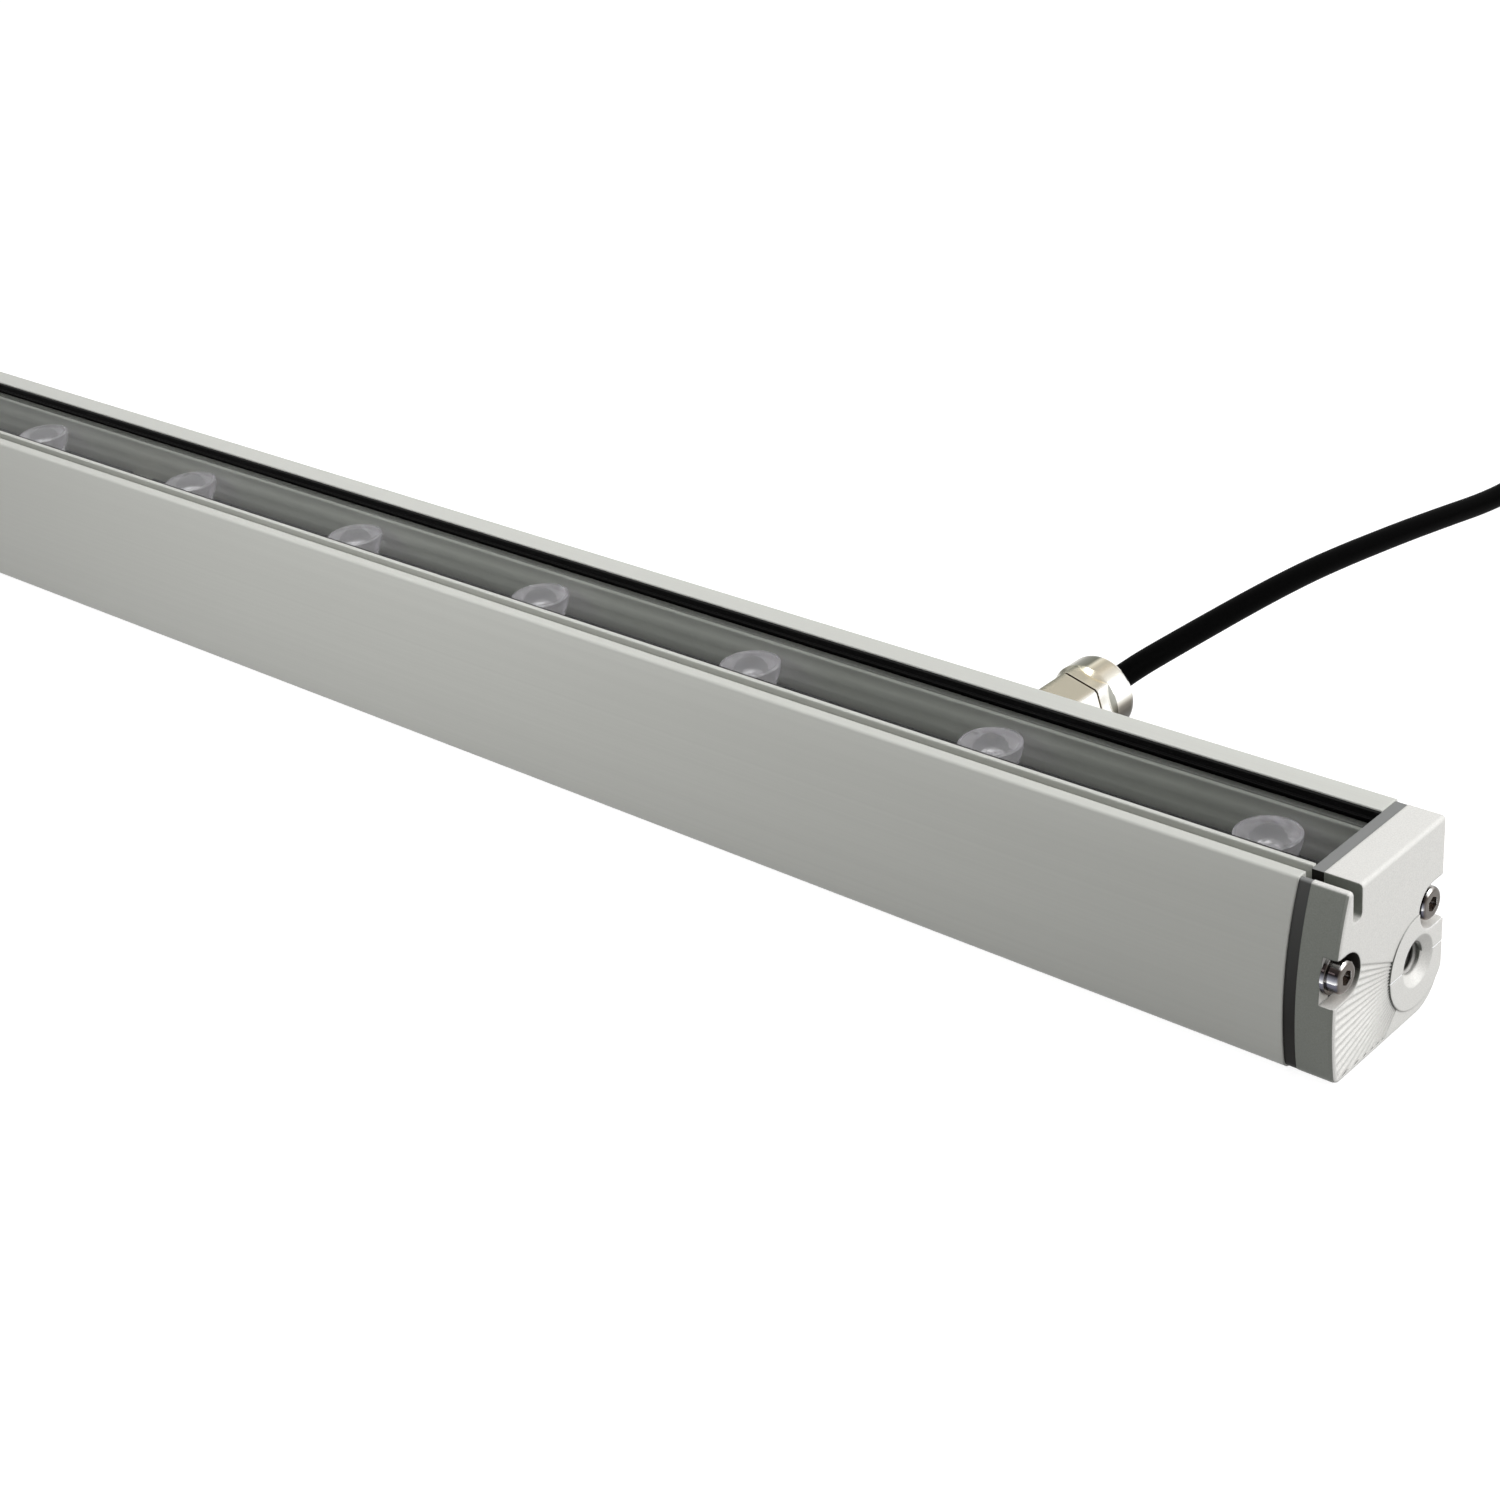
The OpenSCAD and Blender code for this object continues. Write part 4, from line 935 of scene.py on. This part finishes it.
@dataclass
class Studio:
    """Camera, floor and soft lamps, with lengths in metres."""

    # The camera's focal length in millimetres, its place, its axes and what it can see
    lens: float = 66.99
    place: Point = (0.7780, -0.4897, 0.3896)
    right: Point = (0.7408, 0.6658, -0.0890)
    up: Point = (-0.2598, 0.4062, 0.8760)
    back: Point = (0.6194, -0.6259, 0.4739)
    clip: Pair = (0.01, 100.0)
    # What the room gives, and the floor's half width, height and glow
    room_light: float = 0.28
    floor_reach: float = 30.0
    floor_z: float = -0.0003
    floor_glow: float = 0.9
    lamps: tuple[Softbox, ...] = (
        Softbox("overhead", (0.05, 0.2, 1.2), (0.1, 0.1, 0), 1.8, 1.2, 6.9),
        Softbox("end_side", (1.3, 0.5, 0.62), (0.5, 0, 0.02), 0.9, 0.8, 11),
        Softbox("front", (-0.9, -1.1, 0.9), (0.3, 0, 0.03), 1.0, 0.6, 1.2),
        Softbox("near_front", (0.0, -0.75, 0.5), (0.16, 0, 0.02), 0.2, 0.12, 0.16, 50),
    )

    def aim_camera(self) -> None:
        """Place the camera at the photograph's viewpoint."""
        data = bpy.data.cameras.new("camera")
        data.lens = self.lens
        data.clip_start, data.clip_end = self.clip
        camera = put("camera", data)
        turn = Matrix((self.right, self.up, self.back)).transposed().to_quaternion().to_matrix()
        camera.matrix_world = Matrix.Translation(self.place) @ turn.to_4x4()
        bpy.context.scene.camera = camera

    def show(self, tree: Tree, output: str, plain: Source, seen: Source) -> None:
        """Wire an output that looks unlike what it gives the model.

        Args:
            tree: Node tree of the world or the floor.
            output: Type of the output node.
            plain: What lights the model.
            seen: What the camera sees, and what metal and glass show.
        """
        path = add_node(tree, "ShaderNodeLightPath").outputs
        share: Source = path["Is Camera Ray"]
        for name in ("Is Glossy Ray", "Is Transmission Ray"):
            either = {0: share, 1: path[name]}
            share = add_node(tree, "ShaderNodeMath", {"operation": "MAXIMUM"}, either)
        both = add_node(tree, "ShaderNodeMixShader", links={0: share, 1: plain, 2: seen})
        add_node(tree, output, links={"Surface": both})

    def light_room(self) -> None:
        """Light the scene with a plain grey room that looks white."""
        world = bpy.data.worlds.new("studio_room")
        world.use_nodes = True
        tree = world.node_tree
        tree.nodes.clear()
        grey, white = [
            add_node(tree, "ShaderNodeBackground", {"Color": (1, 1, 1, 1), "Strength": strength})
            for strength in (self.room_light, 1.0)
        ]
        self.show(tree, "ShaderNodeOutputWorld", grey, white)
        bpy.context.scene.world = world

    def lay_floor(self) -> None:
        """Lay a pale floor that looks white and keeps the light's soft shadow."""
        far, z = self.floor_reach, self.floor_z
        mesh = bpy.data.meshes.new("floor")
        corners = [(-far, -far, z), (far, -far, z), (far, far, z), (-far, far, z)]
        mesh.from_pydata(corners, [], [(0, 1, 2, 3)])
        floor = put("floor", mesh)
        paper = bpy.data.materials.new("studio_paper")
        paper.use_nodes = True
        tree = paper.node_tree
        tree.nodes.clear()
        dull, faint = [
            add_node(tree, "ShaderNodeBsdfDiffuse", {"Color": linear(grey)})
            for grey in ("#8A8A8A", "#9C9C9C")
        ]
        white = {"Color": (1, 1, 1, 1), "Strength": self.floor_glow}
        glow = add_node(tree, "ShaderNodeEmission", white)
        lit = add_node(tree, "ShaderNodeAddShader", links={0: faint, 1: glow})
        self.show(tree, "ShaderNodeOutputMaterial", dull, lit)
        mesh.materials.append(paper)

    def build(self) -> None:
        """Build the studio."""
        bpy.context.scene.view_settings.view_transform = "Standard"
        self.aim_camera()
        self.light_room()
        self.lay_floor()
        for lamp in self.lamps:
            lamp.hang()


@dataclass
class Cable:
    """Supply cable: from the gland down to the surface, then a tied coil with a bare end."""

    gland_x: float = 369.0
    exit_y: float = 65.318
    exit_z: float = 30.6
    radius: float = 3.5
    coil_radius: float = 50.5
    coil_pitch: float = 7.8
    turns: float = 2.7
    coil_y: float = 345.0
    coil_z: float = 4.5
    # The bare end: cores, the gap between them, and the strands in each
    core_radius: float = 1.1
    core_gap: float = 0.1
    tail: float = 34.0
    bare_points: int = 7
    strand_count: int = 6
    strand_radius: float = 0.27
    strand_ring: float = 0.5
    # The tie's band, its corners, its teeth between two rails, its gap to the sheath, and
    # how far its head stands in from the coil's outer side
    tie_width: float = 4.0
    tie_thick: float = 0.8
    tie_corner: float = 0.2
    tie_tooth: float = 0.18
    tie_rail: Pair = (0.3, 0.9)
    tie_slack: float = 0.2
    tie_head: float = 6.0

    # Places along Y and heights, from the gland down to the surface
    route = (
        (74, 30.8), (83, 30.7), (96, 30), (112, 29), (130, 27.8), (150, 26.2),
        (170, 24.1), (190, 21.3), (208, 18.4), (224, 15.7), (240, 12.8), (256, 9.8),
        (272, 6.8), (288, 4.6), (304, 3.8), (320, 3.9), (334.5, 4.5), (338, 4.5),
    )
    # Each row of the bare end: along, inward, sideways, out of the bundle's middle, down
    tail_shares = (
        (0, 0, 0.5, 1, 0), (0.12, 0.01, 0.66, 0.9, 0.03), (0.24, 0.09, 0.9, 0.6, 0.3),
        (0.36, 0.23, 1.15, 0.15, 0.75), (0.47, 0.42, 1.6, 0, 1), (0.54, 0.65, 2.2, 0, 1),
    )
    # Blocks of the tie's head with its slot, and the tail that runs out of it. Each row
    # has its ends along X, how far it stands past the band, and its heights over it.
    tie_blocks = (
        (-2.4, 2.4, 0.8, -0.4, 1.0), (-2.1, 2.1, 0.5, 1.0, 2.8), (-1.6, 1.6, 0.0, 2.8, 3.1),
        (-9.5, -1.6, -0.3, 1.2, 2.0), (-11.5, -9.5, -1.1, 1.3, 1.9),
    )

    @property
    def coil_steps(self) -> int:
        """Number of steps along the coil, 24 to a turn."""
        return round(24 * self.turns)

    def coil_point(self, turns: float) -> Vector:
        """Return a point of the coil, which winds clockwise and inwards.

        Args:
            turns: Number of turns from its start.

        Returns:
            Point on its centre line.
        """
        r, a = self.coil_radius - self.coil_pitch * turns, math.pi * (1 - 2 * turns)
        x = self.gland_x + self.coil_radius + r * math.cos(a)
        return Vector((x, self.coil_y + r * math.sin(a), self.coil_z))

    def coil_end(self) -> tuple[Vector, Vector]:
        """Return the sheath's end, just past the coil.

        Returns:
            Its place and its direction.
        """
        end, steps = self.coil_point(self.turns), self.coil_steps
        way = (self.coil_point(self.turns * (steps + 1) / steps) - end).normalized()
        return end + 2 * self.radius * way, way

    def centre_line(self) -> list[Vector]:
        """Return the sheath's centre line from the gland to the bare end.

        Returns:
            Points in millimetres.
        """
        run = [Vector((self.gland_x, self.exit_y, self.exit_z))]
        run += [Vector((self.gland_x, y, z)) for y, z in self.route]
        steps = self.coil_steps
        coil = [self.coil_point(self.turns * i / steps) for i in range(steps + 1)]
        return spline(run + coil + [self.coil_end()[0]], steps=3)

    def build_sheath(self) -> None:
        line = self.centre_line()
        sheath = round_curve("cable_sheath", [line], self.radius, ring=8)
        keep(sheath, SHEATH)
        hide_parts("cable_run", "cable_coil")

    def core_line(self, i: int) -> list[Vector]:
        """Return the centre line of one bare core.

        Args:
            i: Which core: -1, 0 or 1.

        Returns:
            Points in millimetres.
        """
        last, way = self.coil_end()
        inward = Vector((way.y, -way.x, 0))
        step = 2 * self.core_radius + self.core_gap
        middle = [self.tail * (s[0] * way + s[1] * inward) for s in self.tail_shares]
        line = []
        for k, share in enumerate(self.tail_shares):
            # The cores leave the sheath in a triangle, the middle one on top
            lift = step / math.sqrt(3 if i == 0 else 12) * (share[3] if i == 0 else -share[3])
            down = (self.coil_z - self.core_radius) * share[4]
            aside = i * step * share[2] * heading(middle, k).cross(UP)
            line.append(last + middle[k] + aside + Vector((0, 0, lift - down)))
        return spline(line, steps=5)

    def strand_lines(self, bare: Sequence[Vector]) -> list[list[Vector]]:
        """Return the centre lines of a core's twisted strands.

        Args:
            bare: Centre line of the core where it is bare.

        Returns:
            Points of each strand in millimetres.
        """
        twist_steps = 22
        strands = []
        for s in range(self.strand_count):
            path = []
            for k, point in enumerate(bare):
                along = heading(bare, k)
                flat = along.cross(UP).normalized()
                a = 2 * math.pi * (s / self.strand_count + k / twist_steps)
                out = math.cos(a) * flat + math.sin(a) * flat.cross(along)
                path.append(point + self.strand_ring * out)
            strands.append(path)
        return strands

    def build_cores(self) -> list[bpy.types.Object]:
        """Build the insulated cores, each with twisted bare strands at its end.

        Returns:
            The cores and their strands.
        """
        made = []
        cores = (("brown", CORE_BROWN), ("earth", CORE_EARTH), ("blue", CORE_BLUE))
        for i, (word, finish) in zip((-1, 0, 1), cores):
            line = self.core_line(i)
            cut = len(line) - self.bare_points
            core = round_curve(f"core_{word}", [line[: cut + 1]], self.core_radius, ring=4)
            made.append(keep(core, finish))
            strands = self.strand_lines(spline(line[cut:], steps=4))
            wires = round_curve(f"strands_{word}", strands, self.strand_radius, ring=1)
            made.append(keep(wires, STRANDS))
        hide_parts("cable_cores")
        return made

    @property
    def coil_side_x(self) -> float:
        """Where the coil's outermost turn passes the tie."""
        return self.gland_x + 2 * self.coil_radius - self.coil_pitch / 2

    def tie_rim(self) -> list[tuple[Vector, Vector]]:
        """Return the way of the tie round three turns on the coil's far side.

        Returns:
            Points on the turns' middle line, and the direction out of each.
        """
        high_x = self.coil_side_x
        low_x = high_x - 2 * self.coil_pitch
        flat_steps, bend_steps = 60, 16
        rim = []
        for start, end, half in ((low_x, high_x, 0.5), (high_x, low_x, -0.5)):
            for k in range(flat_steps + 1):
                base = Vector((start + (end - start) * k / flat_steps, 0, self.coil_z))
                rim.append((base, 2 * half * UP))
            for k in range(1, bend_steps):
                a = math.pi * (half - k / bend_steps)
                out = Vector((math.cos(a), 0, math.sin(a)))
                rim.append((Vector((end, 0, self.coil_z)), out))
        return rim

    def build_tie(self) -> bpy.types.Object:
        """Build the toothed tie round three turns on the coil's far side.

        Returns:
            The tie.
        """
        near, far = self.coil_y - self.tie_width / 2, self.coil_y + self.tie_width / 2
        inner = self.radius + self.tie_slack
        outer, c = inner + self.tie_thick, self.tie_corner
        rail, slope = self.tie_rail
        rim = self.tie_rim()
        points: list[Vector] = []
        for k, (base, out) in enumerate(rim):
            groove = outer - (self.tie_tooth if k % 2 and not out.x else 0.0)
            section = (
                (near + c, inner), (far - c, inner), (far, inner + c), (far, outer - c),
                (far - rail, outer), (far - slope, groove), (near + slope, groove),
                (near + rail, outer), (near, outer - c), (near, inner + c),
            )
            points += [base + Vector((0, y, 0)) + out * r for y, r in section]
        faces = tube_faces(len(rim), len(section), closed=True)
        top = self.coil_z + outer
        head_x = self.coil_side_x + self.radius - self.tie_head
        box = ((0, 1, 2, 3), (4, 5, 6, 7), (0, 1, 5, 4), (1, 2, 6, 5), (2, 3, 7, 6), (3, 0, 4, 7))
        for start_x, end_x, past, low, high in self.tie_blocks:
            x0, x1, y0, y1 = head_x + start_x, head_x + end_x, near - past, far + past
            start = len(points)
            outline = ((x0, y0), (x1, y0), (x1, y1), (x0, y1))
            points += [Vector((x, y, top + z)) for z in (low, high) for x, y in outline]
            faces += [tuple(start + corner for corner in face) for face in box]
        tie = keep(mesh_object("cable_tie", points, faces), TIE)
        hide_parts("coil_tie")
        return tie

    def build(self) -> None:
        """Build the cable with its tie and its bare end."""
        pieces = [*self.build_cores(), self.build_tie()]
        self.build_sheath()


@dataclass
class Gland:
    """Cable gland in the rear wall."""

    edge: float = 0.12

    def build(self) -> None:
        """Dress the gland's body, nut, seals and the sheath in it."""
        dress(GLAND, "gland_body", "gland_nut")
        dress(RUBBER, "gland_oring", "gland_seal", edge=self.edge)
        dress(SHEATH, "cable_entry")
        dress(CORE_BROWN, "supply_cores")


@dataclass
class EndCaps:
    """Die-cast end caps with their gaskets, screws and fixing threads."""

    length: float = 993.4
    gasket_edge: float = 0.25
    # The thread's axis, where it starts under the pad's face, its root just in the wall,
    # its ridge, and the half widths of its root and crest as shares of its pitch
    pad_y: float = 12.7
    pad_z: float = 15.834
    thread_start: float = 2.2
    thread_length: float = 11.0
    bore: float = 4.25
    root: float = 4.27
    ridge: float = 0.6
    pitch: float = 1.5
    root_half: float = 0.5
    crest_half: float = 0.1

    def build_thread(self, side: Side) -> None:
        """Build the ridges of the fixing thread in a cap's bore.

        Args:
            side: The end that the cap is on.
        """
        steps, fade_steps = 40, 14
        rows = int(self.thread_length / self.pitch * steps)
        start = self.length / 2 - self.thread_start
        wide, slim = self.root_half, self.crest_half
        points: list[Vector] = []
        for k in range(rows + 1):
            a = 2 * math.pi * k / steps
            fade = min(1.0, k / fade_steps, (rows - k) / fade_steps)
            crest = self.bore - self.ridge * fade
            for r, share in ((self.root, wide), (crest, slim), (crest, -slim), (self.root, -wide)):
                x = side.value * (start - self.pitch * k / steps + share * self.pitch)
                y, z = self.pad_y + r * math.cos(a), self.pad_z + r * math.sin(a)
                points.append(Vector((x, y, z)))
        corners = 4
        faces = tube_faces(rows + 1, corners, closed=False)
        faces += [tuple(range(corners)), tuple(rows * corners + i for i in range(corners))]
        keep(mesh_object(f"fixing_thread_{side.word}", points, faces), CASTING)

    def build(self) -> None:
        """Dress both caps and build their threads."""
        for side in Side:
            dress(CASTING, f"end_cap_{side.word}")
            dress(GASKET, f"end_gasket_{side.word}", edge=self.gasket_edge)
            dress(SCREW, f"cap_screws_{side.word}")
            self.build_thread(side)


@dataclass
class Optics:
    """Glass, lenses and LED boards."""

    lens_count: int = 12
    glass_edge: float = 0.2
    bead_edge: float = 0.15
    board_edge: float = 0.1

    def build(self) -> None:
        """Dress the glazing and everything under it."""
        dress(PANE, "front_glass", edge=self.glass_edge)
        dress(BEAD, "glazing_bead_front", "glazing_bead_rear", edge=self.bead_edge)
        dress(TAPE, "glass_seat_tapes")
        dress(BOARD, "led_board_right", "led_board_left", edge=self.board_edge)
        dress(HEAT_PAD, "heat_pads")
        dress(SMALL_SCREW, "board_screws")
        dress(PACKAGE, "led_packages")
        dress(RUBBER, "wire_grommet")
        dress(WIRE, "link_wires")
        dress(LENS, *(f"lens_{i:02d}" for i in range(1, self.lens_count + 1)))


@dataclass
class Housing:
    """Extruded housing with the driver in it."""

    edge: float = 0.25
    board_edge: float = 0.1

    def build(self) -> None:
        """Dress the housing and the driver's parts."""
        dress(HOUSING, "housing_profile", edge=self.edge)
        dress(CIRCUIT, "driver_board", edge=self.board_edge)
        dress(TERMINAL, "input_terminal", "output_terminal")
        dress(FERRITE, "driver_transformer")
        dress(SLEEVE, "driver_capacitors")
        dress(COPPER, "driver_chokes")
        dress(CASE, "driver_transistors")


def main() -> None:
    """Build the studio and the light."""
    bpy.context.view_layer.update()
    for part in (Studio(), Cable(), Gland(), EndCaps(), Optics(), Housing()):
        log.info("building %s", type(part).__name__)
        part.build()


if __name__ == "__main__":
    main()
